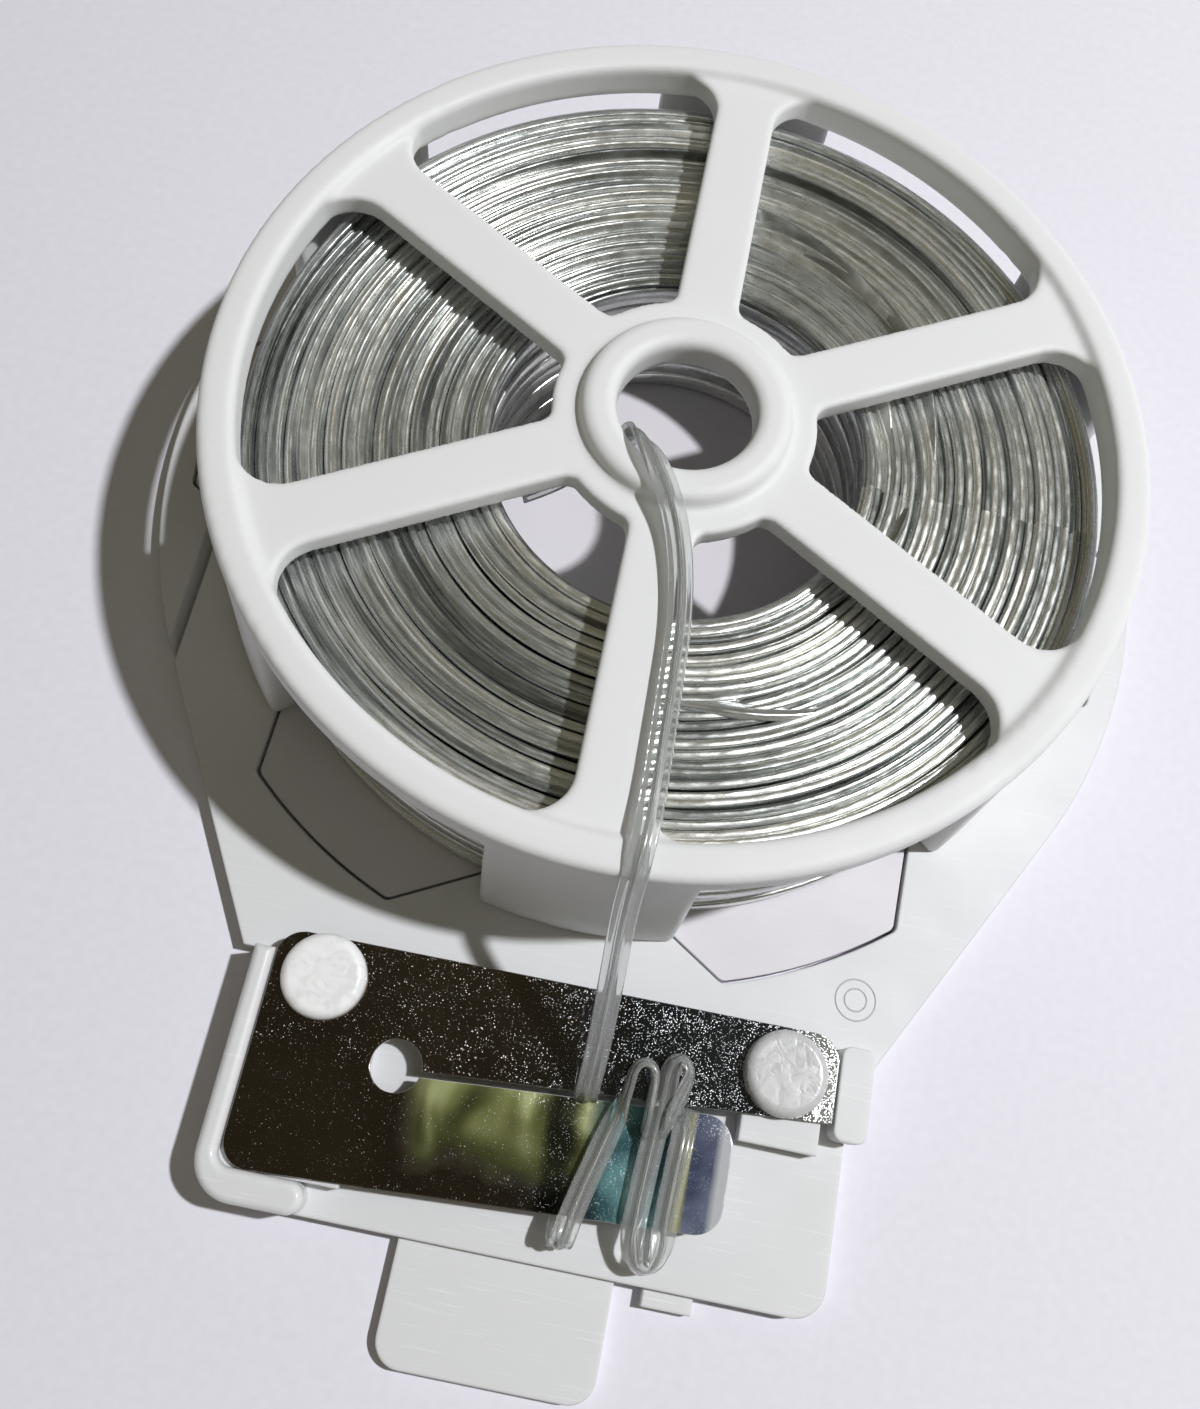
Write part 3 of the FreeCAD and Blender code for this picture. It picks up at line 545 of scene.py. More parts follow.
def steel_dust(nodes, across, down):
    """Pale specks and a few scratches, thicker to the right and thinner on the tongue."""
    thick = span(nodes, across, -4 * MM, 9 * MM, 0.30, 0.52)
    thick = nodes.math("ADD", thick, span(nodes, across, 17 * MM, 24 * MM, 0.0, 0.35))
    fine = use_group(nodes, "dust_specks", Scale=5600.0, Amount=thick)
    coarse = use_group(nodes, "dust_specks", Scale=2900.0, Amount=0.31)
    specks = nodes.math("MAXIMUM", nodes.math("MULTIPLY", fine["Mask"], 0.75), coarse["Mask"])
    lines = use_group(nodes, "hairline_scratches", Amount=0.03)
    specks = nodes.math("MAXIMUM", specks, nodes.math("MULTIPLY", lines["Mask"], 0.4))
    return nodes.math("MULTIPLY", specks, span(nodes, down, -63.0 * MM, -62.0 * MM, 0.55, 1.0))


def make_steel_finish(name, colour):
    """Bright rolled steel with pale dust, and painted reflections, a painted shadow and painted highlights on
    the tongue and edges.
    """
    material, nodes, shader = new_finish(name, Metallic=1.0, Roughness=0.16)
    edges = use_group(nodes, "soft_edges", Radius=0.16 * MM)
    place = nodes.add("TexCoord").outputs["Object"]
    where = nodes.add("SeparateXYZ", Vector=place)
    across = where.outputs["X"]
    down = nodes.math("SUBTRACT", where.outputs["Y"], AXIS.y)
    blot = nodes.add("TexNoise", Vector=place, Scale=150.0, Detail=2.0, Distortion=0.35).outputs["Fac"]
    strip = strip_colour(nodes, across, place, colour)
    tongue_painted_light, painted_reflection_share = paint_tongue_light(nodes, across, down, blot, strip)
    # Painted highlight on the steel's rounded edges. Strip and tongue are one sheet, so no painted edge
    # highlight shows where they meet at the tongue's root.
    seam = nodes.math("ABSOLUTE", nodes.math("SUBTRACT", across, TONGUE_ROOT * MM))
    off_seam = span(nodes, seam, 0.25 * MM, 0.5 * MM)
    edge_highlighted = nodes.mix(nodes.math("MULTIPLY", edges["Mask"], off_seam), tongue_painted_light, EDGE_HIGHLIGHT)
    specks = steel_dust(nodes, across, down)
    nodes.link(nodes.mix(specks, edge_highlighted, DUST), shader, "Base Color")
    dull = nodes.math("MAXIMUM", nodes.math("MULTIPLY", specks, 0.7), painted_reflection_share)
    nodes.link(nodes.math("SUBTRACT", 1.0, dull), shader, "Metallic")
    nodes.link(nodes.math("ADD", nodes.math("MULTIPLY", specks, 0.35), 0.12), shader, "Roughness")
    height = nodes.math("ADD", nodes.math("MULTIPLY", specks, 0.12), blot)
    flat = nodes.add("NewGeometry").outputs["Normal"]
    normal = nodes.add("Mix", data_type="VECTOR")
    nodes.tree.links.new(off_seam, normal.inputs[0])
    nodes.tree.links.new(flat, normal.inputs[4])
    nodes.tree.links.new(edges["Normal"], normal.inputs[5])
    nodes.link(bumped(nodes, height, 0.35, 0.25 * MM, normal.outputs[1]), shader, "Normal")
    return material


def make_coil_finish(name):
    """Clear-covered wire: streaks that run along each turn, under a glossy cover."""
    material, nodes, shader = new_finish(name, Metallic=0.9, Roughness=0.36, Coat_Weight=0.8,
                                         Coat_Roughness=0.12, Coat_IOR=1.5)
    streak = nodes.add("TexNoise", Vector=along_tie(nodes, 0.035, 3.1), Scale=1.0, Detail=4.0, Roughness=0.65)
    tone = nodes.add("TexNoise", Vector=along_tie(nodes, 0.012, 0.37), Scale=1.0, Detail=1.0)
    both = nodes.math("ADD", nodes.math("MULTIPLY", streak.outputs["Fac"], 0.55),
                      nodes.math("MULTIPLY", tone.outputs["Fac"], 0.45))
    colour = nodes.ramp(both, (0.36, (0.13, 0.14, 0.13)), (0.44, (0.40, 0.42, 0.415)),
                        (0.51, (0.74, 0.76, 0.74)), (0.60, (0.98, 0.97, 0.92)))
    nodes.link(colour, shader, "Base Color")
    glint = nodes.add("TexNoise", Vector=along_tie(nodes, 0.55, 9.0), Scale=1.0, Detail=3.0)
    nodes.link(nodes.ramp(glint.outputs["Fac"], (0.35, 0.22), (0.7, 0.38)), shader, "Roughness")
    nodes.link(bumped(nodes, glint.outputs["Fac"], 0.4, 0.10 * MM), shader, "Normal")
    return material


def make_gap_finish(name):
    """What is seen between the turns: near-black painted shade, with a trace of the rows below."""
    material, nodes, shader = new_finish(name, Roughness=0.5, Metallic=0.3)
    rings = nodes.add("TexNoise", Vector=stretched(nodes, (1, 1, 4)), Scale=500.0, Detail=3.0)
    # Near-black colours: painted shade between the turns.
    colour = nodes.ramp(rings.outputs["Fac"], (0.35, (0.012, 0.011, 0.009)), (0.7, (0.06, 0.058, 0.05)))
    nodes.link(colour, shader, "Base Color")
    nodes.link(bumped(nodes, rings.outputs["Fac"], 0.4, 0.3 * MM), shader, "Normal")
    return material


def make_sleeve_finish(name, colour):
    """Clear flexible sleeve, a little cloudy, drawn in fine lines along its length."""
    material, nodes, shader = new_finish(name, Roughness=0.10, IOR=1.47, Transmission_Weight=0.84,
                                         Coat_Weight=1.0, Coat_Roughness=0.2)
    fine = nodes.add("TexNoise", Vector=along_tie(nodes, 0.03, 9.0), Scale=1.0, Detail=2.0)
    shade = nodes.ramp(fine.outputs["Fac"], (0.35, tuple(part * 0.93 for part in colour)), (0.65, colour))
    nodes.link(shade, shader, "Base Color")
    nodes.link(nodes.ramp(fine.outputs["Fac"], (0.3, 0.03), (0.7, 0.10)), shader, "Roughness")
    nodes.link(bumped(nodes, fine.outputs["Fac"], 0.08, 0.04 * MM), shader, "Normal")
    return material


def make_core_finish(name):
    """Drawn steel core."""
    material, nodes, shader = new_finish(name, Metallic=1.0, Roughness=0.25)
    lines = nodes.add("TexNoise", Vector=along_tie(nodes, 0.1, 8.0), Scale=1.0, Detail=2.0)
    nodes.link(nodes.ramp(lines.outputs["Fac"], (0.3, (0.34, 0.36, 0.37)), (0.7, (0.82, 0.82, 0.80))),
               shader, "Base Color")
    nodes.link(nodes.ramp(lines.outputs["Fac"], (0.3, 0.18), (0.7, 0.35)), shader, "Roughness")
    return material


NODE_FINISHES = {
    "base_plate": "moulded_plate", "side_flap": "moulded_plate", "rear_cover": "cover_disc",
    "cage_posts": "moulded_cage", "top_ring": "moulded_cage", "spokes": "moulded_cage",
    "eyelet_hub": "moulded_cage", "cutter_head": "moulded_head", "thumb_tab": "moulded_head",
    "stake_left": "stake_white", "stake_right": "stake_cloudy",
    "cutter_plate": "stamped_steel", "press_tongue": "stamped_steel",
}


class DISPENSER_OT_finishes(bpy.types.Operator):
    """Make the finishes and give them to the moulded and stamped parts"""

    bl_idname = "dispenser.finishes"
    bl_label = "Finishes"

    def execute(self, context):
        for make in (make_mottle_group, make_scratch_group, make_dust_group, make_edge_group):
            make()
        colours = settings("colours")
        housing = tuple(colours.housing)
        make_moulded("moulded_plate", housing, edge=0.35 * MM, scratch=0.35, milky=0.12)
        make_moulded("moulded_cage", tuple(colours.cage), edge=0.45 * MM, scratch=0.12, milky=0.20)
        make_moulded("moulded_head", housing, edge=0.35 * MM, scratch=0.7, milky=0.30, gloss=0.25)
        make_moulded("cover_disc", tuple(colours.cover), edge=0.2 * MM, scratch=0.2, milky=0.12)
        make_stake_finish("stake_white", tuple(colours.stake), through=0.0, swirling=0.05)
        make_stake_finish("stake_cloudy", tuple(colours.stake), through=0.35, swirling=0.3)
        make_steel_finish("stamped_steel", tuple(colours.steel))
        make_coil_finish("coil_tie")
        make_gap_finish("coil_gaps")
        make_sleeve_finish("tie_sleeve", tuple(colours.sleeve))
        make_core_finish("tie_core")
        for node, finish in NODE_FINISHES.items():
            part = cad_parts[node]
            for slot in part.material_slots:
                slot.material = bpy.data.materials[finish]
        return {"FINISHED"}


# Cage in one moulding

CAGE_VOXEL = 0.3 * MM
SPOKE_INNER = 12.85 * MM
SPOKE_OUTER = 41.35 * MM
INSIDE_HUB = 11.6 * MM
INSIDE_RING = 43.0 * MM
POST_TOP = 20.0 * MM
POST_RISE = 0.9 * MM


def outline_copy(node, place):
    """A bmesh of a part, with each corner moved by a function of its distance from the axis."""
    copy = bmesh.new()
    copy.from_mesh(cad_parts[node].data)
    bmesh.ops.remove_doubles(copy, verts=copy.verts, dist=0.001 * MM)
    for corner in copy.verts:
        flat = Vector((corner.co.x - AXIS.x, corner.co.y - AXIS.y, 0))
        reach, height = place(flat.length, corner.co.z)
        if flat.length:
            flat *= reach / flat.length
        corner.co = Vector((AXIS.x + flat.x, AXIS.y + flat.y, height))
    return copy


def spoke_place(reach, height):
    """Run a spoke's ends a little into the hub and the ring."""
    if reach < SPOKE_INNER:
        return INSIDE_HUB, height
    if reach > SPOKE_OUTER:
        return INSIDE_RING, height
    return reach, height


def post_place(reach, height):
    """Run a post's top a little into the ring."""
    return reach, height + POST_RISE if height > POST_TOP else height


def as_made(reach, height):
    """Leave a part where it is."""
    return reach, height


class DISPENSER_OT_cage(bpy.types.Operator):
    """Melt the ring, spokes, posts and eyelet into one moulding with soft inner corners"""

    bl_idname = "dispenser.cage"
    bl_label = "Cage"

    def execute(self, context):
        gathered = bpy.data.meshes.new("cage_outline")
        whole = bmesh.new()
        places = {"top_ring": as_made, "spokes": spoke_place, "eyelet_hub": as_made, "cage_posts": post_place}
        for node, place in places.items():
            copy = outline_copy(node, place)
            copy.to_mesh(gathered)
            copy.free()
            whole.from_mesh(gathered)
        whole.to_mesh(gathered)
        whole.free()
        rough = bpy.data.objects.new("cage_outline", gathered)
        context.scene.collection.objects.link(rough)
        remesh = rough.modifiers.new("melt", "REMESH")
        remesh.mode = "VOXEL"
        remesh.voxel_size = CAGE_VOXEL
        smooth = rough.modifiers.new("soften", "SMOOTH")
        smooth.factor = 0.5
        smooth.iterations = 5
        ready = rough.evaluated_get(context.evaluated_depsgraph_get())
        mesh = bpy.data.meshes.new_from_object(ready)
        bpy.data.objects.remove(rough)
        mesh.name = "moulded_cage"
        mesh.shade_smooth()
        mesh.materials.clear()
        mesh.materials.append(bpy.data.materials["moulded_cage"])
        piece = bpy.data.objects.new("moulded_cage", mesh)
        context.scene.collection.objects.link(piece)
        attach(piece, "housing")
        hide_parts(*places)
        return {"FINISHED"}


# Coil

BULGE = 0.75 * MM
CROSSINGS = 5
CROSSING_STEPS = 48
FILL_STEPS = 144


def around(angle):
    """Level direction at an angle."""
    return Vector((math.cos(angle), math.sin(angle), 0))


def coil_point(out, radius, height):
    """Point of the coil, which lies a little off the cage's middle."""
    return COIL_SHIFT + Vector((AXIS.x, AXIS.y, height)) + out * radius


def leaning(out, lean):
    """Upward normal that leans outward."""
    return Vector((0, 0, 1)) * math.cos(lean) + out * math.sin(lean)


def wander(rng, strength, terms=5):
    """Smooth uneven number around a circle, from a few waves with random phases."""
    waves = [(1 + term, rng.uniform(0, 2 * math.pi), rng.uniform(0.5, 1.0) / (1 + term * 0.5))
             for term in range(terms)]
    total = sum(size for count, phase, size in waves)

    def value(angle):
        return strength * sum(size * math.sin(count * angle + phase) for count, phase, size in waves) / total

    return value


def turn_section(wide, tall, corner):
    """Tie on edge: a tall section with rounded corners, drawn as (across, thick)."""
    inner_wide = wide - corner
    inner_tall = tall - corner
    soft = corner * 0.3
    return [(-inner_wide, -tall), (inner_wide, -tall), (wide - soft, -tall + soft), (wide, -inner_tall),
            (wide, inner_tall), (wide - soft, tall - soft), (inner_wide, tall), (-inner_wide, tall),
            (-wide + soft, tall - soft), (-wide, inner_tall), (-wide, -inner_tall),
            (-wide + soft, -tall + soft)]


def ring_turn(sweep, radius, height, tilt, section, across, steps=168):
    """One closed turn. Radius, height and tilt are functions of the angle."""
    points = []
    normals = []
    for step in range(steps):
        angle = 2 * math.pi * step / steps
        out = around(angle)
        points.append(coil_point(out, radius(angle), height(angle)))
        normals.append(leaning(out, tilt(angle)))
    sweep.add(points, normals, section, closed=True, across=across)


class DISPENSER_OT_coil(bpy.types.Operator):
    """Wind the coil: its uneven top layer, the rows of both walls and a few crossing turns"""

    bl_idname = "dispenser.coil"
    bl_label = "Coil"

    def execute(self, context):
        sizes = settings("coil")
        rng = random.Random(sizes.seed)
        self.sweep = Sweep()
        self.pitch = (COIL_OUTER - COIL_INNER) / sizes.turns
        self.row = (COIL_TOP - COIL_BOTTOM) / sizes.rows
        self.half = self.pitch * 0.47
        self.tall = self.row * 0.49
        self.section = turn_section(self.half, self.tall, self.half * 0.55)
        self.top_layer(rng, sizes)
        self.walls(rng, sizes)
        self.crossing_turns(rng)
        coil = self.sweep.piece("wound_coil", bpy.data.materials["coil_tie"], "coil", "tie")
        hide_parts("wire_coil", "wire_coil_turns")
        self.fill()
        return {"FINISHED"}

    def top_layer(self, rng, sizes):
        """Turns that lean and lie unevenly. The first and the last stand upright."""
        pitch, half, tall = self.pitch, self.half, self.tall
        common_tilt = wander(rng, 0.45, terms=3)
        for turn in range(sizes.turns):
            middle = COIL_INNER + pitch * (turn + 0.5)
            own = wander(rng, 0.25, terms=4)
            drift = wander(rng, pitch * 0.25, terms=6)
            sink = wander(rng, 1.0, terms=6)
            depth = rng.random() ** 1.6 * sizes.unevenness
            edge = 0.0 if 0 < turn < sizes.turns - 1 else 1.0

            def tilt(angle, own=own, edge=edge):
                far_side = 0.35 + 0.40 * math.sin(angle - 0.5)
                return (1 - edge) * (far_side + common_tilt(angle) + own(angle))

            def height(angle, tilt=tilt, sink=sink, depth=depth):
                lean = tilt(angle)
                reach = tall * abs(math.cos(lean)) + half * abs(math.sin(lean))
                return COIL_TOP - reach - depth * (0.55 + 0.45 * sink(angle))

            def radius(angle, middle=middle, drift=drift, edge=edge):
                return middle + drift(angle) * (1 - edge)

            ring_turn(self.sweep, radius, height, tilt, self.section, across=turn * 1.7)

    def walls(self, rng, sizes):
        """Rows of the bore and of the outside, two turns deep."""
        pitch, row, half, tall = self.pitch, self.row, self.half, self.tall
        faces = ((COIL_INNER + half * 1.1, 1), (COIL_OUTER - half * 1.1, -1))
        for wall, (middle, inward) in enumerate(faces):
            for layer in range(2):
                for level in range(sizes.rows):
                    base = COIL_BOTTOM + row * (level + 0.5) - layer * row * 0.45
                    base = max(base, COIL_BOTTOM + tall)
                    bulge = rng.uniform(0, 0.7) * half
                    rise = wander(rng, row * 0.06, terms=5)
                    drift = wander(rng, half * 0.35, terms=5)
                    offset = inward * (layer * pitch * 0.9 + bulge + half * 0.35)
                    if wall and level < sizes.rows - 1:
                        offset += BULGE

                    def radius(angle, middle=middle, offset=offset, drift=drift):
                        return middle + offset + drift(angle)

                    def height(angle, base=base, rise=rise):
                        return min(base + rise(angle), COIL_TOP - tall)

                    def tilt(angle):
                        return 0.0

                    across = 60 + wall * 40 + level * 1.9 + layer
                    ring_turn(self.sweep, radius, height, tilt, self.section, across=across)

    def crossing_turns(self, rng):
        """A few turns that climb outward over their neighbours."""
        pitch = self.pitch
        for crossing in range(CROSSINGS):
            start = rng.uniform(-1.9, 0.9)
            length = rng.uniform(0.7, 1.6)
            inner = rng.uniform(COIL_INNER + 2 * pitch, COIL_OUTER - 7 * pitch)
            climb = rng.uniform(2.0, 5.0) * pitch
            points = []
            normals = []
            for step in range(CROSSING_STEPS + 1):
                share = step / CROSSING_STEPS
                ease = share * share * (3 - 2 * share)
                arch = math.sin(math.pi * share)
                out = around(start + length * share)
                lift = COIL_TOP - self.half - 1.3 * MM * (1 - arch) - 0.1 * MM
                points.append(coil_point(out, inner + climb * ease, lift))
                normals.append(leaning(out, 1.25 - 0.3 * arch))
            self.sweep.add(points, normals, self.section, across=160 + crossing * 2.3)

    def fill(self):
        """Body of the rows that can't be seen, between the two walls, painted near black as the shade between
        the turns.
        """
        sweep = Sweep()
        low = COIL_BOTTOM + 0.3 * MM
        high = COIL_TOP - 1.9 * self.tall
        inner = COIL_INNER + self.pitch * 1.2
        outer = COIL_OUTER - self.pitch * 1.2
        rims = [(inner, low), (outer, low), (outer, high), (inner, high)]
        section = [(radius - inner, level - low) for radius, level in rims]
        angles = [2 * math.pi * step / FILL_STEPS for step in range(FILL_STEPS)]
        points = [coil_point(around(angle), inner, low) for angle in angles]
        sweep.add(points, [Vector((0, 0, 1))] * FILL_STEPS, section, closed=True)
        body = sweep.piece("coil_rows", bpy.data.materials["coil_gaps"], "coil", "tie")
        body.data.shade_flat()


# Tie outside the coil: x, y, z of a control point in millimetres about the coil's axis, then the way the flat
# side faces

LEAD = [
    (-14.0, -6.9, 14.4, 0.9, 0.4, 0.0),
    (-11.2, -6.3, 16.6, 0.8, 0.4, 0.5),
    (-8.0, -4.4, 18.6, 0.7, 0.4, 0.7),
    (-5.2, -2.9, 21.4, 0.85, 0.5, 0.4),
    (-4.4, -3.6, 24.4, 0.75, 0.6, 0.4),
    (-3.3, -5.4, 26.1, 0.45, 0.35, 0.85),
    (-1.1, -8.5, 26.1, -0.15, 0.0, 1.0),
    (1.3, -12.9, 25.3, -0.35, -0.1, 1.0),
    (3.0, -20.5, 25.0, -0.4, 0.0, 1.0),
    (3.3, -30.0, 25.0, -0.35, 0.0, 1.0),
    (3.6, -38.5, 25.0, -0.2, 0.0, 1.0),
    (3.4, -44.0, 25.3, 0.0, -0.1, 1.0),
    (3.2, -47.2, 21.8, 0.0, -0.75, 0.7),
    (3.7, -52.6, 15.0, 0.05, -0.8, 0.6),
    (4.1, -58.0, 8.6, 0.1, -0.8, 0.6),
    (4.0, -61.6, 4.9, 0.1, -0.8, 0.6),
]

FIRST_WRAP = [
    (4.0, -62.6, 3.7, 0.0, 0.0, -1.0),
    (4.0, -67.6, 3.65, 0.0, 0.0, -1.0),
    (4.0, -71.8, 3.6, 0.0, 0.0, -1.0),
    (4.05, -73.6, 3.7, 0.0, -0.5, -0.9),
    (4.15, -74.15, 4.7, 0.0, -1.0, 0.0),
    (4.3, -73.6, 5.7, 0.0, -0.5, 0.9),
    (4.7, -71.2, 5.45, 0.0, 0.0, 1.0),
    (6.0, -66.2, 5.4, 0.0, 0.0, 1.0),
    (7.0, -62.8, 5.7, -0.5, 0.0, 0.85),
    (7.5, -60.6, 7.0, -1.0, 0.1, 0.3),
    (7.7, -58.0, 7.4, -0.9, 0.5, 0.2),
    (8.75, -57.3, 7.5, 0.0, 1.0, 0.2),
    (9.8, -58.0, 7.4, 1.0, 0.4, 0.1),
    (9.8, -60.2, 7.1, 1.0, 0.0, 0.0),
    (9.8, -61.9, 6.8, 1.0, 0.0, 0.0),
    (9.8, -63.2, 5.2, 1.0, 0.0, 0.0),
]

SECOND_WRAP = [
    (11.6, -63.1, 5.2, 0.8, 0.0, 0.6),
    (11.9, -61.8, 6.7, 0.8, 0.1, 0.6),
    (12.3, -60.0, 7.0, 0.9, 0.2, 0.6),
    (12.9, -57.6, 7.5, 0.8, 0.7, 0.5),
    (12.0, -56.4, 7.6, 0.0, 1.0, 0.5),
    (11.0, -57.3, 7.5, -0.7, 0.5, 0.7),
    (10.9, -60.2, 7.0, -0.4, 0.0, 0.9),
    (10.7, -63.4, 5.8, 0.0, 0.0, 1.0),
    (10.5, -67.0, 5.6, 0.0, 0.0, 1.0),
    (10.3, -70.6, 5.6, 0.0, -0.1, 1.0),
    (10.35, -73.0, 5.5, -0.6, -0.2, 0.8),
    (11.2, -74.6, 5.0, -0.5, -0.9, 0.3),
    (12.5, -74.6, 4.7, 0.5, -0.9, 0.3),
    (13.1, -72.8, 5.2, 0.6, -0.1, 0.8),
    (13.0, -70.4, 5.45, 0.0, 0.0, 1.0),
    (13.2, -66.6, 5.4, 0.0, 0.0, 1.0),
    (13.4, -62.8, 5.45, 0.0, 0.0, 1.0),
    (13.5, -60.6, 4.6, 0.0, 0.6, 0.8),
]


CORE_CORNERS = 10


def lay_tie(label, routes, body, replaced):
    """Clear sleeve and steel core along each route."""
    sleeve = Sweep()
    core = Sweep()
    section = tie_section()
    wire = round_section(settings("tie").core / 2, CORE_CORNERS)
    for index, route in enumerate(routes):
        points = smooth_route(route)
        normals = route_normals(route, len(points))
        sleeve.add(points, normals, section, across=index * 3.0)
        core.add(points, normals, wire, across=index * 3.0)
    outside = sleeve.piece(label + "_sleeve", bpy.data.materials["tie_sleeve"], body, "tie")
    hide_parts(replaced)
    core.piece(label + "_core", bpy.data.materials["tie_core"], body, "tie")


class DISPENSER_OT_lead(bpy.types.Operator):
    """Lay the tie from the coil through the eyelet and down to the slit"""

    bl_idname = "dispenser.lead"
    bl_label = "Lead"

    def execute(self, context):
        lay_tie("lead", [LEAD], "housing", "wire_lead")
        return {"FINISHED"}


class DISPENSER_OT_wraps(bpy.types.Operator):
    """Lay the two turns of tie about the tongue"""

    bl_idname = "dispenser.wraps"
    bl_label = "Wraps"

    def execute(self, context):
        lay_tie("wraps", [FIRST_WRAP, SECOND_WRAP], "tongue", "wire_wraps")
        return {"FINISHED"}


# Marks of moulding

MARK_PLACE = (28.4, -47.2, 2.2)
MARK_RADII = (2.0, 1.1)
MARK_STEPS = 40
MARK_LINE = 0.09 * MM


class DISPENSER_OT_marks(bpy.types.Operator):
    """Put the low rings that ejector pins leave on the plate"""

    bl_idname = "dispenser.marks"
    bl_label = "Moulding marks"

    def execute(self, context):
        sweep = Sweep()
        section = round_section(MARK_LINE, 8)
        x, y, z = MARK_PLACE
        angles = [2 * math.pi * step / MARK_STEPS for step in range(MARK_STEPS)]
        for radius in MARK_RADII:
            points = [at(x + radius * math.cos(angle), y + radius * math.sin(angle), z) for angle in angles]
            sweep.add(points, [Vector((0, 0, 1))] * MARK_STEPS, section, closed=True)
        sweep.piece("ejector_marks", bpy.data.materials["moulded_plate"], "housing", "housing")
        return {"FINISHED"}


# Stage

SENSOR = 36.0
LENS = 1225.98 / 1409 * SENSOR
CAMERA = {"target": (-2.11, -25.53, 10.0), "distance": 119.69,
          "azimuth": -1.97, "elevation": 69.87, "roll": 13.94}
SURROUNDINGS = (1.0, 0.92, 0.62, 1.0)
FRONT_SHARE = 0.03


def place_camera():
    """Camera that looks at its target from a distance, with angles in degrees."""
    azimuth = math.radians(CAMERA["azimuth"])
    elevation = math.radians(CAMERA["elevation"])
    roll = math.radians(CAMERA["roll"])
    back = Vector((math.cos(elevation) * math.sin(azimuth), -math.cos(elevation) * math.cos(azimuth),
                   math.sin(elevation)))
    right = Vector((0, 0, 1)).cross(back).normalized()
    up = back.cross(right)
    turned_right = right * math.cos(roll) + up * math.sin(roll)
    turned_up = up * math.cos(roll) - right * math.sin(roll)
    data = bpy.data.cameras.new("photo_camera")
    data.sensor_width = SENSOR
    data.lens = LENS
    data.clip_start = 0.005
    data.clip_end = 20
    camera = bpy.data.objects.new("photo_camera", data)
    bpy.context.scene.collection.objects.link(camera)
    axes = Matrix((turned_right, turned_up, back)).transposed().to_4x4()
    axes.translation = at(*CAMERA["target"]) + back * CAMERA["distance"] * MM
    camera.matrix_world = axes
    bpy.context.scene.camera = camera


def place_lamp(name, azimuth, elevation, distance, size, power, colour):
    """Round lamp that shines at the middle of the frame."""
    data = bpy.data.lights.new(name, "AREA")
    data.shape = "DISK"
    data.size = size
    data.energy = power
    data.color = colour
    lamp = bpy.data.objects.new(name, data)
    bpy.context.scene.collection.objects.link(lamp)
    turn = math.radians(azimuth)
    rise = math.radians(elevation)
    away = Vector((math.cos(rise) * math.cos(turn), math.cos(rise) * math.sin(turn), math.sin(rise)))
    facing = away.to_track_quat("Z", "Y").to_matrix().to_4x4()
    lamp.matrix_world = Matrix.Translation(away * distance) @ facing


def make_floor_finish():
    """Plain white paper."""
    material, nodes, shader = new_finish("paper_floor", Roughness=0.9, Specular_IOR_Level=0.1)
    weave = nodes.add("TexNoise", Vector=stretched(nodes, (1, 1, 1)), Scale=900.0, Detail=4.0)
    nodes.link(nodes.ramp(weave.outputs["Fac"], (0.3, (0.785, 0.775, 0.85)), (0.7, (0.815, 0.805, 0.88))),
               shader, "Base Color")
    nodes.link(bumped(nodes, weave.outputs["Fac"], 0.08, 0.05 * MM), shader, "Normal")
    return material


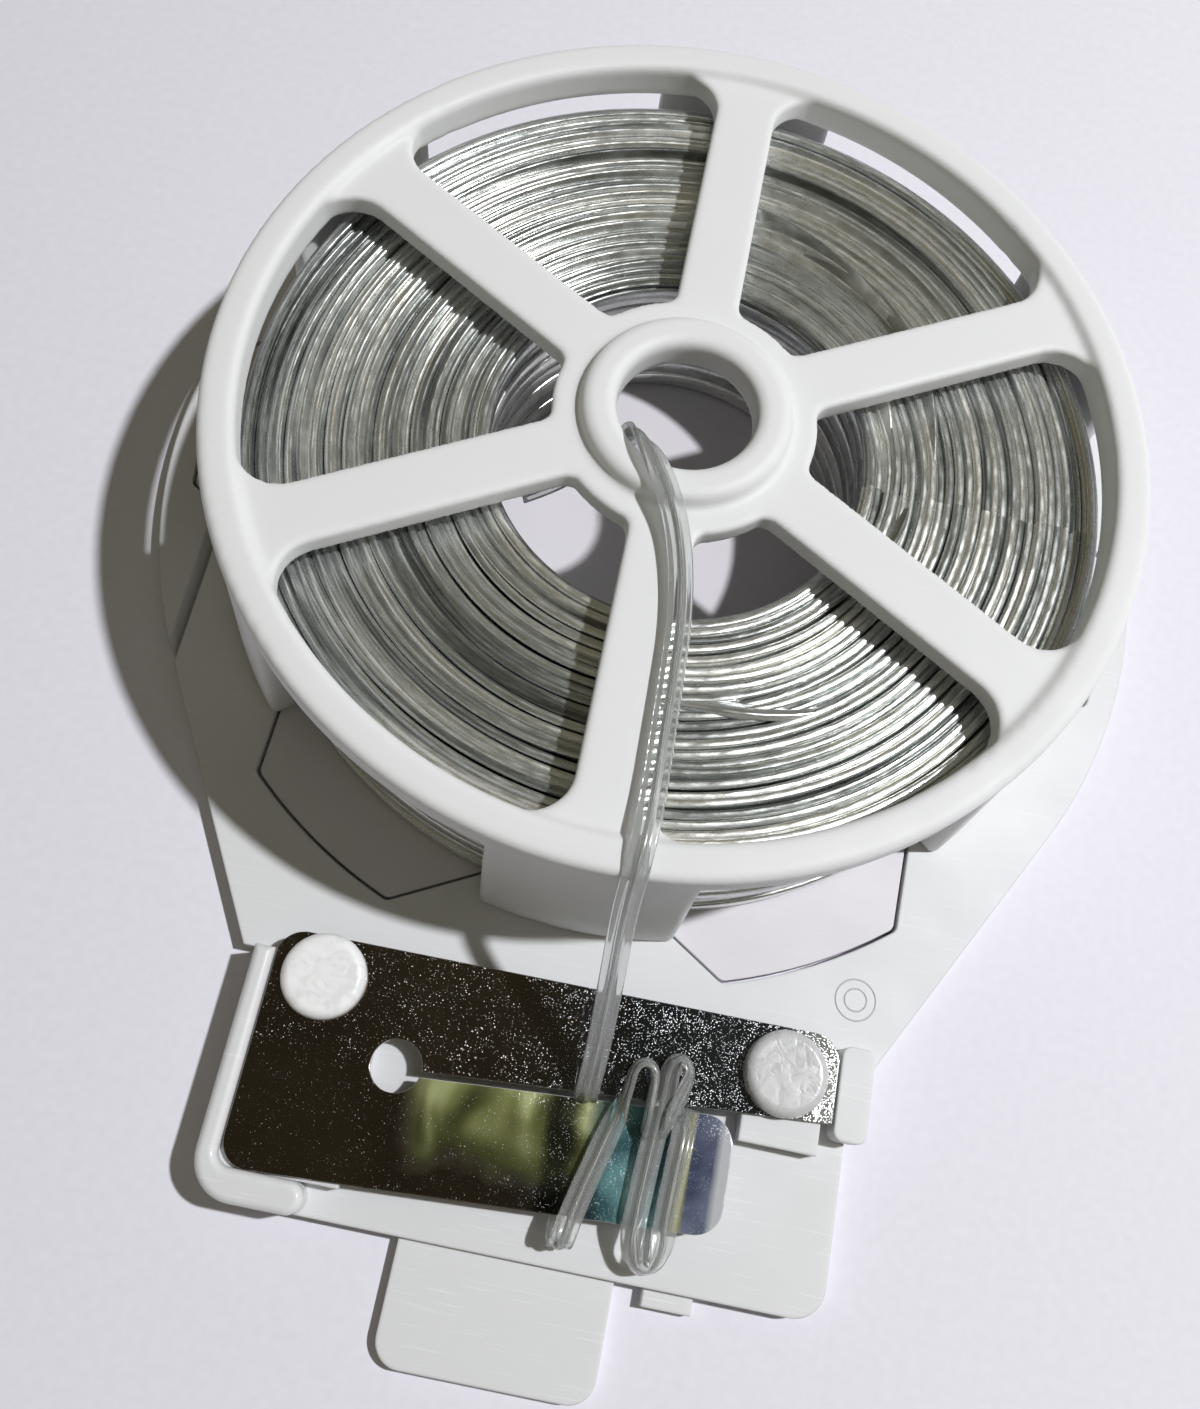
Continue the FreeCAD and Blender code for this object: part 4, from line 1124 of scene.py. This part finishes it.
class DISPENSER_OT_stage(bpy.types.Operator):
    """Lay the floor and place the lamps and the camera"""

    bl_idname = "dispenser.stage"
    bl_label = "Stage"

    def execute(self, context):
        sizes = settings("stage")
        half = sizes.floor / 2
        mesh = bpy.data.meshes.new("floor")
        mesh.from_pydata([(-half, -half, 0), (half, -half, 0), (half, half, 0), (-half, half, 0)],
                         [], [(0, 1, 2, 3)])
        mesh.materials.append(make_floor_finish())
        floor = bpy.data.objects.new("floor", mesh)
        context.scene.collection.objects.link(floor)
        world = context.scene.world or bpy.data.worlds.new("surroundings")
        context.scene.world = world
        world.use_nodes = True
        background = world.node_tree.nodes["Background"]
        background.inputs["Color"].default_value = SURROUNDINGS
        background.inputs["Strength"].default_value = sizes.fill
        place_lamp("key_lamp", azimuth=14, elevation=60, distance=0.8, size=0.035,
                   power=sizes.key, colour=(0.97, 0.98, 1.0))
        place_lamp("front_lamp", azimuth=-60, elevation=62, distance=0.9, size=0.5,
                   power=sizes.key * FRONT_SHARE, colour=(1.0, 1.0, 1.0))
        place_camera()
        context.scene.view_settings.view_transform = "Standard"
        return {"FINISHED"}


# Registration

STEPS = ("finishes", "cage", "coil", "lead", "wraps", "marks", "stage")
GROUPS = {"tie": TieSizes, "coil": CoilSizes, "colours": FinishColours, "stage": StageSizes}


class DISPENSER_PT_panel(bpy.types.Panel):
    """Steps that dress the dispenser"""

    bl_label = "Tie dispenser"
    bl_idname = "DISPENSER_PT_panel"
    bl_space_type = "VIEW_3D"
    bl_region_type = "UI"
    bl_category = "Dispenser"

    def draw(self, context):
        for name, group in GROUPS.items():
            box = self.layout.box()
            for size in group.__annotations__:
                box.prop(settings(name), size)
        for step in STEPS:
            self.layout.operator("dispenser." + step)


CLASSES = (TieSizes, CoilSizes, FinishColours, StageSizes, DISPENSER_OT_finishes, DISPENSER_OT_cage,
           DISPENSER_OT_coil, DISPENSER_OT_lead, DISPENSER_OT_wraps, DISPENSER_OT_marks, DISPENSER_OT_stage,
           DISPENSER_PT_panel)


def register():
    for item in CLASSES:
        bpy.utils.register_class(item)
    for name, group in GROUPS.items():
        setattr(bpy.types.Scene, "dispenser_" + name, PointerProperty(type=group))


def unregister():
    for name in GROUPS:
        delattr(bpy.types.Scene, "dispenser_" + name)
    for item in reversed(CLASSES):
        bpy.utils.unregister_class(item)


def main():
    register()
    for step in STEPS:
        getattr(bpy.ops.dispenser, step)()


if __name__ == "__main__":
    main()
